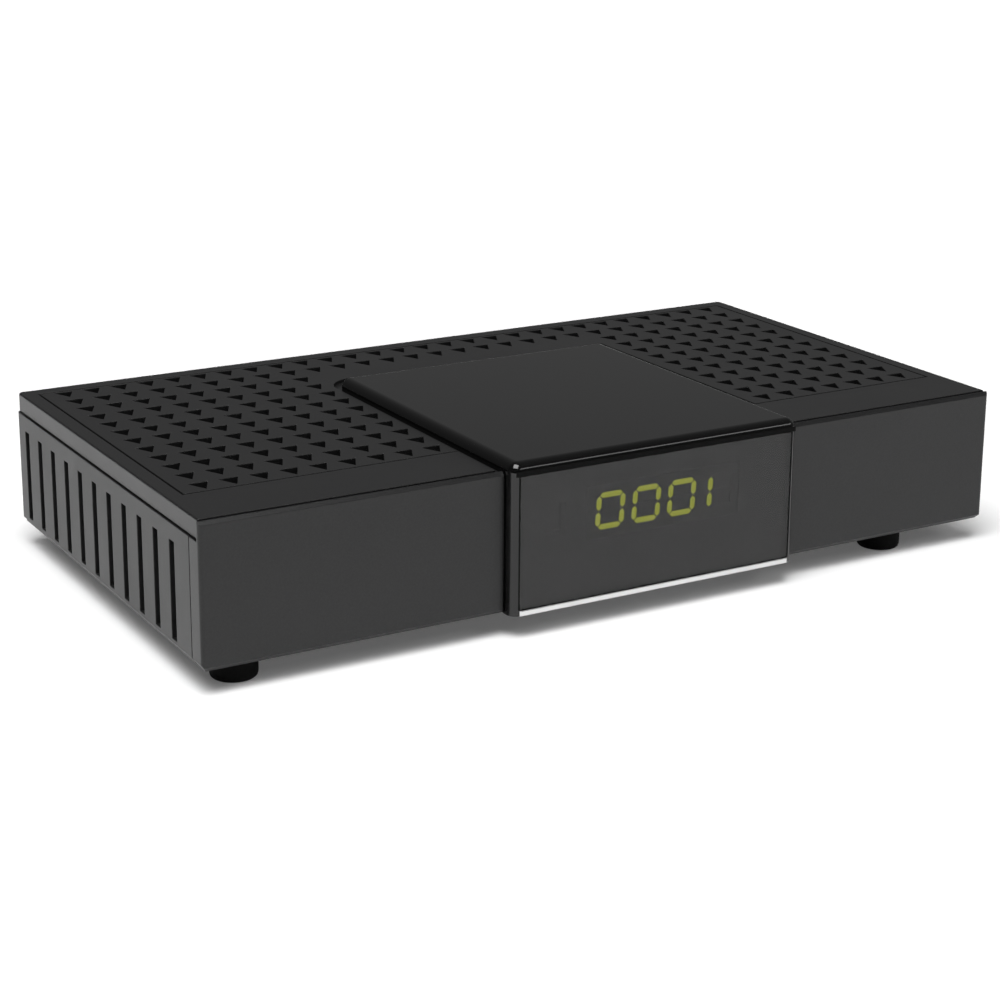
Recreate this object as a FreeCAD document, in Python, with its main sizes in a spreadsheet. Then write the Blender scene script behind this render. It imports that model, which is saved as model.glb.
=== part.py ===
import FreeCAD, Part
import math
import os
import Sketcher

# A small satellite television receiver: a moulded housing on four rubber feet, with a raised
# glossy saddle over its middle, a four-digit display behind a smoked window, two circuit boards
# inside and a row of sockets and a rocker switch at the back.
# Millimetres. X runs to the right as seen from the front, the front faces -Y, Z is up.
# The origin is on the surface that it stands on, under the middle of its outer box.

doc = FreeCAD.newDocument("satellite_receiver")
sheet = doc.addObject("Spreadsheet::Sheet", "Sizes")
cells = []


class Size:
    """A length that keeps its number together with its formula in the sheet's names."""

    def __init__(self, number, formula):
        self.number = number
        self.formula = formula

    def __add__(self, other):
        other = as_size(other)
        return Size(self.number + other.number, f"({self.formula} + {other.formula})")

    def __sub__(self, other):
        other = as_size(other)
        return Size(self.number - other.number, f"({self.formula} - {other.formula})")

    def __mul__(self, other):
        other = as_size(other)
        return Size(self.number * other.number, f"({self.formula} * {other.formula})")

    def __truediv__(self, other):
        other = as_size(other)
        return Size(self.number / other.number, f"({self.formula} / {other.formula})")

    def __neg__(self):
        return Size(-self.number, f"(0 - {self.formula})")

    def __radd__(self, other):
        return as_size(other) + self

    def __rsub__(self, other):
        return as_size(other) - self


def as_size(value):
    return value if isinstance(value, Size) else Size(float(value), f"{float(value):.6f}")


def cell(alias, number):
    """Writes one driving dimension into the sheet and returns it."""
    cells.append(alias)
    place = f"B{len(cells)}"
    sheet.set(f"A{len(cells)}", alias)
    sheet.set(place, str(number))
    sheet.setAlias(place, alias)
    return Size(float(number), f"Sizes.{alias}")


def bind(thing, name, size):
    thing.setExpression(name, as_size(size).formula)


# Driving dimensions of the housing
body_width = cell("body_width", 220)
body_depth = cell("body_depth", 119.2)
body_height = cell("body_height", 34.6)
foot_height = cell("foot_height", 5.6)
wall = cell("wall", 2)
floor_thick = cell("floor_thick", 2)
cover_thick = cell("cover_thick", 2.4)
skirt_height = cell("skirt_height", 4.5)
skirt_inset = cell("skirt_inset", 0.4)
seam_gap = cell("seam_gap", 0.4)
fit_gap = cell("fit_gap", 0.1)
rim_height = cell("rim_height", 1.7)
rim_inset = cell("rim_inset", 1.2)
rim_notch_depth = cell("rim_notch_depth", 16)
rim_notch_height = cell("rim_notch_height", 1.5)
edge_round = cell("edge_round", 0.5)
corner_round = cell("corner_round", 1.5)

# Side slots and the triangular vents in the cover
slot_width = cell("slot_width", 2.9)
slot_top_drop = cell("slot_top_drop", 8.8)
slot_height = cell("slot_height", 23.2)
slot_pitch = cell("slot_pitch", 9.62)
slot_rear_inset = cell("slot_rear_inset", 7.5)
slot_count = cell("slot_count", 11)
vent_width = cell("vent_width", 5)
vent_length = cell("vent_length", 5.2)
vent_pitch_x = cell("vent_pitch_x", 7.37)
vent_pitch_y = cell("vent_pitch_y", 8)
vent_side_inset = cell("vent_side_inset", 10.6)
vent_rear_inset = cell("vent_rear_inset", 5.65)
vent_rows = cell("vent_rows", 12)
vent_strip_rows = cell("vent_strip_rows", 2)
vent_left_columns = cell("vent_left_columns", 9)
vent_strip_columns = cell("vent_strip_columns", 12)
vent_right_columns = cell("vent_right_columns", 7)
groove_side_inset = cell("groove_side_inset", 4.2)
groove_rear_inset = cell("groove_rear_inset", 4.4)
groove_front_inset = cell("groove_front_inset", 18.75)
groove_width = cell("groove_width", 0.6)
groove_depth = cell("groove_depth", 0.5)
groove_panel_gap = cell("groove_panel_gap", 3)

# Front bezel
bezel_thick = cell("bezel_thick", 2.2)
bezel_return = cell("bezel_return", 5.3)
bezel_chin = cell("bezel_chin", 3)
bezel_drop = cell("bezel_drop", 0.3)
bezel_lip = cell("bezel_lip", 1.2)
bezel_bevel = cell("bezel_bevel", 0.8)
bezel_lower_bevel = cell("bezel_lower_bevel", 1.1)
bezel_corner_round = cell("bezel_corner_round", 0.9)
shelf_thick = cell("shelf_thick", 1.6)
shelf_reach = cell("shelf_reach", 6)
tongue_width = cell("tongue_width", 12)
tongue_thick = cell("tongue_thick", 1.2)
tongue_reach = cell("tongue_reach", 6)
tongue_spread = cell("tongue_spread", 70)

# Glossy centre saddle, its window and its bright strip
panel_left_inset = cell("panel_left_inset", 75.2)
panel_width = cell("panel_width", 80.8)
panel_reach = cell("panel_reach", 3.4)
panel_raise = cell("panel_raise", 2.2)
panel_length = cell("panel_length", 84.2)
panel_wall = cell("panel_wall", 2)
panel_front_round = cell("panel_front_round", 2.6)
panel_side_round = cell("panel_side_round", 2.4)
panel_seat = cell("panel_seat", 0.9)
recess_depth = cell("recess_depth", 1)
recess_side_gap = cell("recess_side_gap", 1.8)
recess_length = cell("recess_length", 91.2)
recess_round = cell("recess_round", 8)
tab_width = cell("tab_width", 6)
tab_thick = cell("tab_thick", 1.8)
tab_inset = cell("tab_inset", 9)
tab_reach = cell("tab_reach", 1.4)
tab_front_gap = cell("tab_front_gap", 15)
window_side_inset = cell("window_side_inset", 2)
window_top_drop = cell("window_top_drop", 3)
window_thick = cell("window_thick", 1)
window_bevel = cell("window_bevel", 0.15)
strip_height = cell("strip_height", 1.5)
strip_thick = cell("strip_thick", 1)
strip_proud = cell("strip_proud", 0.3)
strip_round = cell("strip_round", 0.3)

# Display, front board and standby key
display_offset = cell("display_offset", 2)
display_drop = cell("display_drop", 12.95)
module_width = cell("module_width", 43)
module_height = cell("module_height", 12.8)
module_depth = cell("module_depth", 7)
module_setback = cell("module_setback", 0.2)
aperture_gap = cell("aperture_gap", 0.4)
digit_pitch = cell("digit_pitch", 10.1)
digit_height = cell("digit_height", 9)
digit_width = cell("digit_width", 7.9)
digit_slant = cell("digit_slant", 3.7)
digit_count = cell("digit_count", 4)
last_digit_shift = cell("last_digit_shift", 1.4)
segment_width = cell("segment_width", 1.3)
segment_gap = cell("segment_gap", 0.22)
segment_thick = cell("segment_thick", 0.12)
board_thick = cell("board_thick", 1.6)
front_board_left = cell("front_board_left", 44)
front_board_height = cell("front_board_height", 21.1)
front_board_lift = cell("front_board_lift", 5)
clip_width = cell("clip_width", 4)
clip_thick = cell("clip_thick", 1.6)
clip_hook = cell("clip_hook", 1)
clip_spread = cell("clip_spread", 24)
clip_reach = cell("clip_reach", 72)
infrared_offset = cell("infrared_offset", 30)
infrared_width = cell("infrared_width", 5.4)
infrared_height = cell("infrared_height", 7)
infrared_body = cell("infrared_body", 4.2)
infrared_dome = cell("infrared_dome", 2.3)
key_radius = cell("key_radius", 2.5)
key_recess = cell("key_recess", 0.2)
key_drop = cell("key_drop", 20)
key_flange_radius = cell("key_flange_radius", 3.3)
key_flange_thick = cell("key_flange_thick", 0.8)
key_travel = cell("key_travel", 0.5)
key_gap = cell("key_gap", 0.2)
switch_size = cell("switch_size", 6)
switch_thick = cell("switch_thick", 3.5)
plunger_radius = cell("plunger_radius", 1.6)
plunger_length = cell("plunger_length", 2.1)
plunger_sunk = cell("plunger_sunk", 0.7)

# Main board and what stands on it
board_side_inset = cell("board_side_inset", 16)
board_front_inset = cell("board_front_inset", 24)
board_rear_gap = cell("board_rear_gap", 0.5)
board_lift = cell("board_lift", 5)
board_hole_inset = cell("board_hole_inset", 6)
board_hole_radius = cell("board_hole_radius", 1.6)
board_hook_inset = cell("board_hook_inset", 24)
hook_width = cell("hook_width", 6)
hook_thick = cell("hook_thick", 1.4)
hook_reach = cell("hook_reach", 1.2)
cover_hook_x = cell("cover_hook_x", 62)
standoff_half = cell("standoff_half", 2.8)
screw_radius = cell("screw_radius", 1.45)
screw_head_radius = cell("screw_head_radius", 2.8)
screw_head_height = cell("screw_head_height", 2)
board_screw_length = cell("board_screw_length", 5.5)
pilot_gap = cell("pilot_gap", 0.05)
chip_size = cell("chip_size", 27)
chip_thick = cell("chip_thick", 1.8)
sink_size = cell("sink_size", 34)
sink_base = cell("sink_base", 2)
sink_height = cell("sink_height", 9)
sink_fin = cell("sink_fin", 1.1)
sink_fin_count = cell("sink_fin_count", 10)

# Case screws, their columns and the feet
column_half = cell("column_half", 4.2)
column_height = cell("column_height", 11)
column_side_inset = cell("column_side_inset", 9)
column_end_inset = cell("column_end_inset", 26)
counterbore_radius = cell("counterbore_radius", 3.2)
counterbore_web = cell("counterbore_web", 2)
screw_hole_radius = cell("screw_hole_radius", 1.7)
post_half = cell("post_half", 3.3)
case_screw_length = cell("case_screw_length", 12)
pilot_depth = cell("pilot_depth", 14)
foot_radius = cell("foot_radius", 5.5)
foot_left_inset = cell("foot_left_inset", 11.2)
foot_right_inset = cell("foot_right_inset", 26.6)
foot_front_inset = cell("foot_front_inset", 9.2)
foot_rear_inset = cell("foot_rear_inset", 13)
floor_vent_width = cell("floor_vent_width", 3)
floor_vent_length = cell("floor_vent_length", 20)
floor_vent_pitch = cell("floor_vent_pitch", 9)
floor_vent_front_gap = cell("floor_vent_front_gap", 24)
floor_vent_count = cell("floor_vent_count", 10)

# Rear plate and sockets
plate_thick = cell("plate_thick", 1.2)
plate_gap = cell("plate_gap", 0.2)
lip_width = cell("lip_width", 2)
lip_thick = cell("lip_thick", 1.4)
cutout_gap = cell("cutout_gap", 0.3)
jack_reach = cell("jack_reach", 9)
tuner_x = cell("tuner_x", 70)
tuner_width = cell("tuner_width", 26)
tuner_depth = cell("tuner_depth", 48)
tuner_height = cell("tuner_height", 13)
tuner_setback = cell("tuner_setback", 4)
tuner_lid = cell("tuner_lid", 0.5)
coax_radius = cell("coax_radius", 4.7)
coax_shoulder_radius = cell("coax_shoulder_radius", 4.3)
coax_core_radius = cell("coax_core_radius", 3.2)
coax_pin_radius = cell("coax_pin_radius", 0.6)
coax_plug_sunk = cell("coax_plug_sunk", 1)
coax_pin_depth = cell("coax_pin_depth", 7.5)
nut_radius = cell("nut_radius", 7.2)
nut_thick = cell("nut_thick", 2.4)
NUT_SIDES = 6
usb_x = cell("usb_x", 47)
usb_width = cell("usb_width", 13.2)
usb_height = cell("usb_height", 5.9)
metal_thick = cell("metal_thick", 0.4)
usb_tongue_width = cell("usb_tongue_width", 11.2)
usb_tongue_thick = cell("usb_tongue_thick", 1.9)
hdmi_x = cell("hdmi_x", 29)
hdmi_width = cell("hdmi_width", 15)
hdmi_height = cell("hdmi_height", 5.6)
hdmi_notch = cell("hdmi_notch", 1.6)
hdmi_tongue_width = cell("hdmi_tongue_width", 11)
hdmi_tongue_thick = cell("hdmi_tongue_thick", 1.4)
port_depth = cell("port_depth", 13)
port_proud = cell("port_proud", 0.8)
tongue_depth = cell("tongue_depth", 9)
scart_x = cell("scart_x", -8)
scart_width = cell("scart_width", 47)
scart_height = cell("scart_height", 17)
scart_depth = cell("scart_depth", 14)
scart_corner = cell("scart_corner", 5)
scart_shell = cell("scart_shell", 1.2)
scart_groove = cell("scart_groove", 2.2)
scart_groove_depth = cell("scart_groove_depth", 10)
scart_proud = cell("scart_proud", 1.8)
scart_slot_width = cell("scart_slot_width", 1.2)
scart_slot_height = cell("scart_slot_height", 3.6)
scart_slot_pitch = cell("scart_slot_pitch", 3.81)
scart_slot_depth = cell("scart_slot_depth", 8)
scart_row_pitch = cell("scart_row_pitch", 5.2)
scart_slot_count = cell("scart_slot_count", 9)
scart_contact = cell("scart_contact", 0.4)
audio_x = cell("audio_x", -46)
audio_size = cell("audio_size", 10)
audio_depth = cell("audio_depth", 12)
audio_radius = cell("audio_radius", 4.15)
audio_shoulder_radius = cell("audio_shoulder_radius", 3.85)
audio_sleeve = cell("audio_sleeve", 0.65)
audio_bore_radius = cell("audio_bore_radius", 1.7)
audio_reach = cell("audio_reach", 6)
supply_x = cell("supply_x", -64)
supply_width = cell("supply_width", 9)
supply_height = cell("supply_height", 11)
supply_depth = cell("supply_depth", 13)
supply_bore_radius = cell("supply_bore_radius", 3.1)
supply_bore_depth = cell("supply_bore_depth", 9.5)
supply_pin_radius = cell("supply_pin_radius", 1)
power_x = cell("power_x", -85)
power_lift = cell("power_lift", 9.4)
power_width = cell("power_width", 8.8)
power_height = cell("power_height", 14)
power_depth = cell("power_depth", 14)
power_flange = cell("power_flange", 1.3)
power_flange_thick = cell("power_flange_thick", 1.8)
power_well_width = cell("power_well_width", 7.6)
power_well_height = cell("power_well_height", 12.8)
power_well_depth = cell("power_well_depth", 8)
rocker_pivot_depth = cell("rocker_pivot_depth", 1)
rocker_width = cell("rocker_width", 7.2)
rocker_half = cell("rocker_half", 5.8)
rocker_dip = cell("rocker_dip", 2.2)
rocker_rise = cell("rocker_rise", 3.2)
rocker_foot = cell("rocker_foot", 3)
rocker_foot_half = cell("rocker_foot_half", 4.6)
rocker_tilt = cell("rocker_tilt", 9.8)
rocker_pin_radius = cell("rocker_pin_radius", 1)
rocker_pin_gap = cell("rocker_pin_gap", 0.05)
rocker_pin_reach = cell("rocker_pin_reach", 0.6)
terminal_half = cell("terminal_half", 2.4)
terminal_thick = cell("terminal_thick", 0.8)
terminal_length = cell("terminal_length", 6)
terminal_offset = cell("terminal_offset", 3.5)

# Flat cable and the small pieces on the main board
cable_x = cell("cable_x", 14)
cable_half = cell("cable_half", 6)
cable_thick = cell("cable_thick", 0.9)
plug_depth = cell("plug_depth", 5)
plug_height = cell("plug_height", 4.4)
plug_rise = cell("plug_rise", 0.6)
memory_width = cell("memory_width", 10.5)
memory_length = cell("memory_length", 13)
memory_thick = cell("memory_thick", 1.1)
memory_x = cell("memory_x", 32)
crystal_length = cell("crystal_length", 11)
crystal_width = cell("crystal_width", 4.6)
crystal_height = cell("crystal_height", 3.5)
choke_size = cell("choke_size", 7.3)
choke_height = cell("choke_height", 4)
choke_pitch = cell("choke_pitch", 12)
choke_side_inset = cell("choke_side_inset", 18)
choke_front_inset = cell("choke_front_inset", 24)
CHOKE_COUNT = 3
LARGE_CAN_COUNT = 2
REGULATOR_COUNT = 2
can_radius = cell("can_radius", 4)
can_height = cell("can_height", 11.5)
small_can_radius = cell("small_can_radius", 3.15)
small_can_height = cell("small_can_height", 8)
regulator_width = cell("regulator_width", 4)
regulator_length = cell("regulator_length", 5)
regulator_thick = cell("regulator_thick", 1.6)

# Levels and faces that several pieces share
left = -body_width / 2
right = body_width / 2
nose = panel_reach + strip_proud
front = -(body_depth + jack_reach - nose) / 2
rear = front + body_depth
bottom = foot_height
top = bottom + body_height
crown = top + panel_raise
floor_top = bottom + floor_thick
cover_under = top - cover_thick
skirt_base = top - skirt_height
shell_top = skirt_base - seam_gap
bezel_top = top - bezel_drop
shelf_top = cover_under - fit_gap
cover_front = front + bezel_lip + seam_gap
shell_front = front + bezel_return + seam_gap
panel_left = left + panel_left_inset
panel_right = panel_left + panel_width
panel_front = front - panel_reach
panel_back = front + panel_length
recess_floor = top - recess_depth
window_left = panel_left + window_side_inset
window_right = panel_right - window_side_inset
window_base = bottom + strip_height
window_top = crown - window_top_drop
plate_rear = rear - wall - plate_gap
plate_front = plate_rear - plate_thick
display_x = (panel_left + panel_right) / 2 + display_offset
module_front = panel_front + window_thick + module_setback
front_board_front = module_front + module_depth
front_board_rear = front_board_front + board_thick
display_z = top - display_drop
front_board_base = floor_top + front_board_lift
front_board_top = front_board_base + front_board_height
clip_left = display_x - clip_spread
clip_right = display_x + clip_reach
infrared_x = display_x - infrared_offset
key_y = front_board_rear + switch_size / 2
key_z = top - key_drop
board_bottom = floor_top + board_lift
board_top = board_bottom + board_thick
board_left = left + board_side_inset
board_right = right - board_side_inset
board_front = front + board_front_inset
board_rear = plate_front - lip_thick - fit_gap - board_rear_gap
column_top = floor_top + column_height
screw_seat = column_top - counterbore_web
power_z = board_top + power_lift
pivot_y = plate_rear + power_flange_thick - rocker_pivot_depth
nodes = []


def origin_plane(body, role):
    return [f for f in body.Origin.OriginFeatures if f.Role == role][0]


def outline(*points):
    """A closed wire through the points, each held at its own two distances from the origin."""

    def draw(sketch):
        count = len(points)
        start = sketch.GeometryCount
        spots = [FreeCAD.Vector(as_size(x).number, as_size(y).number, 0) for x, y in points]
        for i in range(count):
            sketch.addGeometry(Part.LineSegment(spots[i], spots[(i + 1) % count]))
        for i in range(count):
            joint = Sketcher.Constraint("Coincident", start + i, 2, start + (i + 1) % count, 1)
            sketch.addConstraint(joint)
        for i, (x, y) in enumerate(points):
            hold(sketch, "DistanceX", start + i, 1, x)
            hold(sketch, "DistanceY", start + i, 1, y)

    return draw


def rectangle(x0, y0, x1, y1):
    return outline((x0, y0), (x1, y0), (x1, y1), (x0, y1))


def centred(x, y, half_width, half_length):
    return rectangle(x - half_width, y - half_length, x + half_width, y + half_length)


def disc(x, y, radius):
    def draw(sketch):
        middle = FreeCAD.Vector(as_size(x).number, as_size(y).number, 0)
        ring = Part.Circle(middle, FreeCAD.Vector(0, 0, 1), as_size(radius).number)
        number = sketch.addGeometry(ring)
        size = sketch.addConstraint(Sketcher.Constraint("Radius", number, as_size(radius).number))
        bind(sketch, f"Constraints[{size}]", radius)
        hold(sketch, "DistanceX", number, 3, x)
        hold(sketch, "DistanceY", number, 3, y)

    return draw


def hold(sketch, kind, number, end, size):
    size = as_size(size)
    place = sketch.addConstraint(Sketcher.Constraint(kind, -1, 1, number, end, size.number))
    bind(sketch, f"Constraints[{place}]", size)


def body_named(label):
    body = doc.addObject("PartDesign::Body", label)
    body.Label = label
    nodes.append(body)
    return body


def sketch_in(body, name, role, height, shapes):
    """A sketch parallel to one of the body's planes, with the shapes drawn in it."""
    sketch = body.newObject("Sketcher::SketchObject", name)
    sketch.AttachmentSupport = [(origin_plane(body, role), "")]
    sketch.MapMode = "FlatFace"
    bind(sketch, "AttachmentOffset.Base.z", height)
    for draw in shapes:
        draw(sketch)
    return sketch


# The XZ plane's own normal points to -Y, so its sketches stand at minus their Y
PLANES = {"X": ("YZ_Plane", 1), "Y": ("XZ_Plane", -1), "Z": ("XY_Plane", 1)}


def add(body, name, axis, low, high, *shapes):
    """Material between two levels along an axis."""
    role, sign = PLANES[axis]
    sketch = sketch_in(body, name + "_outline", role, as_size(low) * sign, shapes)
    pad = body.newObject("PartDesign::Pad", name)
    pad.Profile = sketch
    pad.Reversed = sign < 0
    bind(pad, "Length", as_size(high) - low)
    return pad


def cut(body, name, axis, low, high, *shapes):
    """A pocket between two levels along an axis."""
    role, sign = PLANES[axis]
    start = high if sign > 0 else low
    sketch = sketch_in(body, name + "_outline", role, as_size(start) * sign, shapes)
    pocket = body.newObject("PartDesign::Pocket", name)
    pocket.Profile = sketch
    bind(pocket, "Length", as_size(high) - low)
    return pocket


def repeat(body, feature, name, step_x, count_x, step_y=None, count_y=None,
           axes=("H_Axis", "V_Axis")):
    """Copies a feature in a row or a grid, along its own sketch's axes."""
    sketch = feature.Profile[0]
    pattern = body.newObject("PartDesign::LinearPattern", name)
    pattern.Originals = [feature]
    pattern.Direction = (sketch, [axes[0]])
    bind(pattern, "Length", step_x * (count_x - 1))
    bind(pattern, "Occurrences", count_x)
    if count_y is not None:
        pattern.Direction2 = (sketch, [axes[1]])
        pattern.Reversed2 = step_y.number < 0
        bind(pattern, "Length2", (-step_y if step_y.number < 0 else step_y) * (count_y - 1))
        bind(pattern, "Occurrences2", count_y)
    body.Tip = pattern
    return pattern


def edges_of(shape, test):
    return [f"Edge{i + 1}" for i, edge in enumerate(shape.Edges) if test(edge)]


def soften(body, name, kind, size, test):
    """Rounds or bevels the edges that pass the test; kind is Fillet or Chamfer."""
    doc.recompute()
    base = body.Tip
    feature = body.newObject("PartDesign::" + kind, name)
    feature.Base = (base, edges_of(base.Shape, test))
    bind(feature, "Radius" if kind == "Fillet" else "Size", size)
    return feature


def spans(edge, **limits):
    """Whether every point of an edge keeps to the given planes, such as x=3."""
    box = edge.BoundBox
    for axis, value in limits.items():
        low, high = getattr(box, axis.upper() + "Min"), getattr(box, axis.upper() + "Max")
        if abs(low - as_size(value).number) > 0.01 or abs(high - as_size(value).number) > 0.01:
            return False
    return True


def keep(thing, label):
    thing.Label = label
    nodes.append(thing)
    return thing


def block(name, x, y, z):
    """A box between pairs of faces."""
    box = doc.addObject("Part::Box", name)
    for side, place, (low, high) in (("Length", "x", x), ("Width", "y", y), ("Height", "z", z)):
        bind(box, side, as_size(high) - low)
        bind(box, "Placement.Base." + place, low)
    return box


def rod(name, x, y, z, radius, length, axis="Z"):
    """A cylinder that starts at a point and runs along an axis."""
    cylinder = doc.addObject("Part::Cylinder", name)
    turn = {"Z": (FreeCAD.Vector(0, 0, 1), 0), "Y": (FreeCAD.Vector(1, 0, 0), -90),
            "X": (FreeCAD.Vector(0, 1, 0), 90)}[axis]
    cylinder.Placement = FreeCAD.Placement(FreeCAD.Vector(), FreeCAD.Rotation(*turn))
    bind(cylinder, "Radius", radius)
    bind(cylinder, "Height", length)
    for place, size in (("x", x), ("y", y), ("z", z)):
        bind(cylinder, "Placement.Base." + place, size)
    return cylinder


def fused(name, *pieces):
    union = doc.addObject("Part::MultiFuse", name)
    union.Shapes = list(pieces)
    return union


def less(name, base, tool):
    difference = doc.addObject("Part::Cut", name)
    difference.Base = base
    difference.Tool = tool
    return difference


def group(name, pieces):
    several = doc.addObject("Part::Compound", name)
    several.Links = list(pieces)
    return several


def corners(x, y_front, y_rear):
    """The four points of a rectangle that is even about X = 0."""
    return [(-x, y_front), (x, y_front), (-x, y_rear), (x, y_rear)]


column_sides = left + column_side_inset, right - column_side_inset
columns = [(x, rear - column_end_inset) for x in column_sides]
feet = [(x, y) for y in (front + foot_front_inset, rear - foot_rear_inset)
        for x in (left + foot_left_inset, right - foot_right_inset)]
board_supports = corners(board_right - board_hole_inset, board_front + board_hole_inset,
                         board_rear - board_hole_inset)
board_holes = board_supports[2:]
board_hooks = (board_left + board_hook_inset, board_right - board_hook_inset)
panel_tabs = [(x, y) for x in (panel_left + tab_inset, panel_right - tab_inset)
              for y in (front + tab_front_gap, panel_back - tab_inset)]


# Lower shell: an open-ended tray with slotted side walls, made as one section along Y
base_shell = body_named("base_shell")
add(base_shell, "tray", "Y", shell_front, rear, outline(
    (left + rim_inset, bottom), (right - rim_inset, bottom), (right, bottom + rim_height),
    (right, shell_top), (right - wall, shell_top), (right - wall, floor_top),
    (left + wall, floor_top), (left + wall, shell_top), (left, shell_top),
    (left, bottom + rim_height)))
add(base_shell, "chin", "Z", bottom, floor_top, rectangle(
    left + wall + seam_gap, front + bezel_chin + seam_gap, right - wall - seam_gap,
    shell_front + fit_gap))
cut(base_shell, "rim_notches", "Y", rear - rim_notch_depth, rear + fit_gap,
    rectangle(left - fit_gap, bottom - fit_gap, left + rim_inset, bottom + rim_notch_height),
    rectangle(right - rim_inset, bottom - fit_gap, right + fit_gap, bottom + rim_notch_height))
first_slot = rear - slot_rear_inset
side_slot = cut(base_shell, "side_slot", "X", left - fit_gap, right + fit_gap, rectangle(
    first_slot - slot_width / 2, top - slot_top_drop - slot_height,
    first_slot + slot_width / 2, top - slot_top_drop))
side_slots = repeat(base_shell, side_slot, "side_slots", slot_pitch, slot_count)
side_slots.Reversed = True
floor_vent_start = -(floor_vent_pitch * (floor_vent_count - 1)) / 2
floor_vent = cut(base_shell, "floor_vent", "Z", bottom - fit_gap, floor_top + fit_gap, rectangle(
    floor_vent_start - floor_vent_width / 2, board_front + floor_vent_front_gap,
    floor_vent_start + floor_vent_width / 2, board_front + floor_vent_front_gap + floor_vent_length))
repeat(base_shell, floor_vent, "floor_vents", floor_vent_pitch, floor_vent_count)


def end_frame(reach):
    """A U that lines the tray's walls and floor and stands in from them by its reach."""
    return outline(
        (left + wall, shell_top), (left + wall, floor_top), (right - wall, floor_top),
        (right - wall, shell_top), (right - wall - reach, shell_top),
        (right - wall - reach, floor_top + reach), (left + wall + reach, floor_top + reach),
        (left + wall + reach, shell_top))


add(base_shell, "rear_lip", "Y", plate_rear + fit_gap, plate_rear + fit_gap + lip_thick,
    end_frame(lip_width))
add(base_shell, "rear_rib", "Y", plate_front - fit_gap - lip_thick, plate_front - fit_gap,
    end_frame(lip_width))
add(base_shell, "columns", "Z", floor_top, column_top,
    *[centred(x, y, column_half, column_half) for x, y in columns])
add(base_shell, "standoffs", "Z", floor_top, board_bottom,
    *[centred(x, y, standoff_half, standoff_half) for x, y in board_supports])
hook_heel = board_front - fit_gap - hook_thick
for name, x in zip(("left_board_hook", "right_board_hook"), board_hooks):
    add(base_shell, name, "X", x - hook_width / 2, x + hook_width / 2, outline(
        (hook_heel, floor_top), (board_front - fit_gap, floor_top),
        (board_front - fit_gap, board_top + fit_gap),
        (board_front + hook_reach, board_top + fit_gap),
        (hook_heel, board_top + fit_gap + hook_thick * 2)))
cut(base_shell, "counterbores", "Z", bottom - fit_gap, screw_seat,
    *[disc(x, y, counterbore_radius) for x, y in columns])
cut(base_shell, "screw_holes", "Z", screw_seat - fit_gap, column_top + fit_gap,
    *[disc(x, y, screw_hole_radius) for x, y in columns])
cut(base_shell, "standoff_pilots", "Z", floor_top, board_bottom,
    *[disc(x, y, screw_radius + pilot_gap) for x, y in board_holes])
cut(base_shell, "key_hole", "X", right - wall - fit_gap, right + fit_gap,
    disc(key_y, key_z, key_radius + key_gap))
soften(base_shell, "rear_corners", "Fillet", corner_round,
       lambda e: spans(e, x=left, y=rear) or spans(e, x=right, y=rear))

# Upper cover: a lid with a skirt on three sides, a recess for the saddle and a triangular grille
top_cover = body_named("top_cover")
cover_left = left + skirt_inset
cover_right = right - skirt_inset
add(top_cover, "lid", "Z", skirt_base, top, rectangle(cover_left, cover_front, cover_right, rear))
soften(top_cover, "rear_corners", "Fillet", corner_round,
       lambda e: spans(e, x=cover_left, y=rear) or spans(e, x=cover_right, y=rear))
soften(top_cover, "upper_edges", "Fillet", edge_round,
       lambda e: spans(e, z=top) and not spans(e, y=cover_front))
cut(top_cover, "hollow", "Z", skirt_base - fit_gap, cover_under, rectangle(
    cover_left + wall, cover_front - fit_gap, cover_right - wall, rear - wall + fit_gap))
cut(top_cover, "recess", "Z", recess_floor, top + fit_gap, rectangle(
    panel_left - recess_side_gap, cover_front - fit_gap,
    panel_right + recess_side_gap, front + recess_length))
soften(top_cover, "recess_corners", "Fillet", recess_round,
       lambda e: spans(e, x=panel_left - recess_side_gap, y=front + recess_length)
       or spans(e, x=panel_right + recess_side_gap, y=front + recess_length))
groove_left = left + groove_side_inset
groove_right = right - groove_side_inset
groove_rear = rear - groove_rear_inset
groove_front = front + groove_front_inset
groove_inner = panel_right + groove_panel_gap
cut(top_cover, "groove", "Z", top - groove_depth, top + fit_gap, outline(
    (panel_left - recess_side_gap + fit_gap, groove_front), (groove_left, groove_front),
    (groove_left, groove_rear), (groove_right, groove_rear), (groove_right, groove_front),
    (groove_inner, groove_front), (groove_inner, front + recess_length),
    (groove_inner + groove_width, front + recess_length),
    (groove_inner + groove_width, groove_front + groove_width),
    (groove_right - groove_width, groove_front + groove_width),
    (groove_right - groove_width, groove_rear - groove_width),
    (groove_left + groove_width, groove_rear - groove_width),
    (groove_left + groove_width, groove_front + groove_width),
    (panel_left - recess_side_gap + fit_gap, groove_front + groove_width)))


def vent(column):
    """One triangular hole of the rearmost row, with its flat side to the rear."""
    middle = left + vent_side_inset + vent_pitch_x * column
    edge = rear - vent_rear_inset
    return outline((middle - vent_width / 2, edge), (middle + vent_width / 2, edge),
                   (middle, edge - vent_length))


def vent_field(name, first_column, columns_wide, rows_deep):
    hole = cut(top_cover, name + "_vent", "Z", cover_under - fit_gap, top + fit_gap,
               vent(first_column))
    repeat(top_cover, hole, name + "_vents", vent_pitch_x, columns_wide, -vent_pitch_y, rows_deep)


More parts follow.
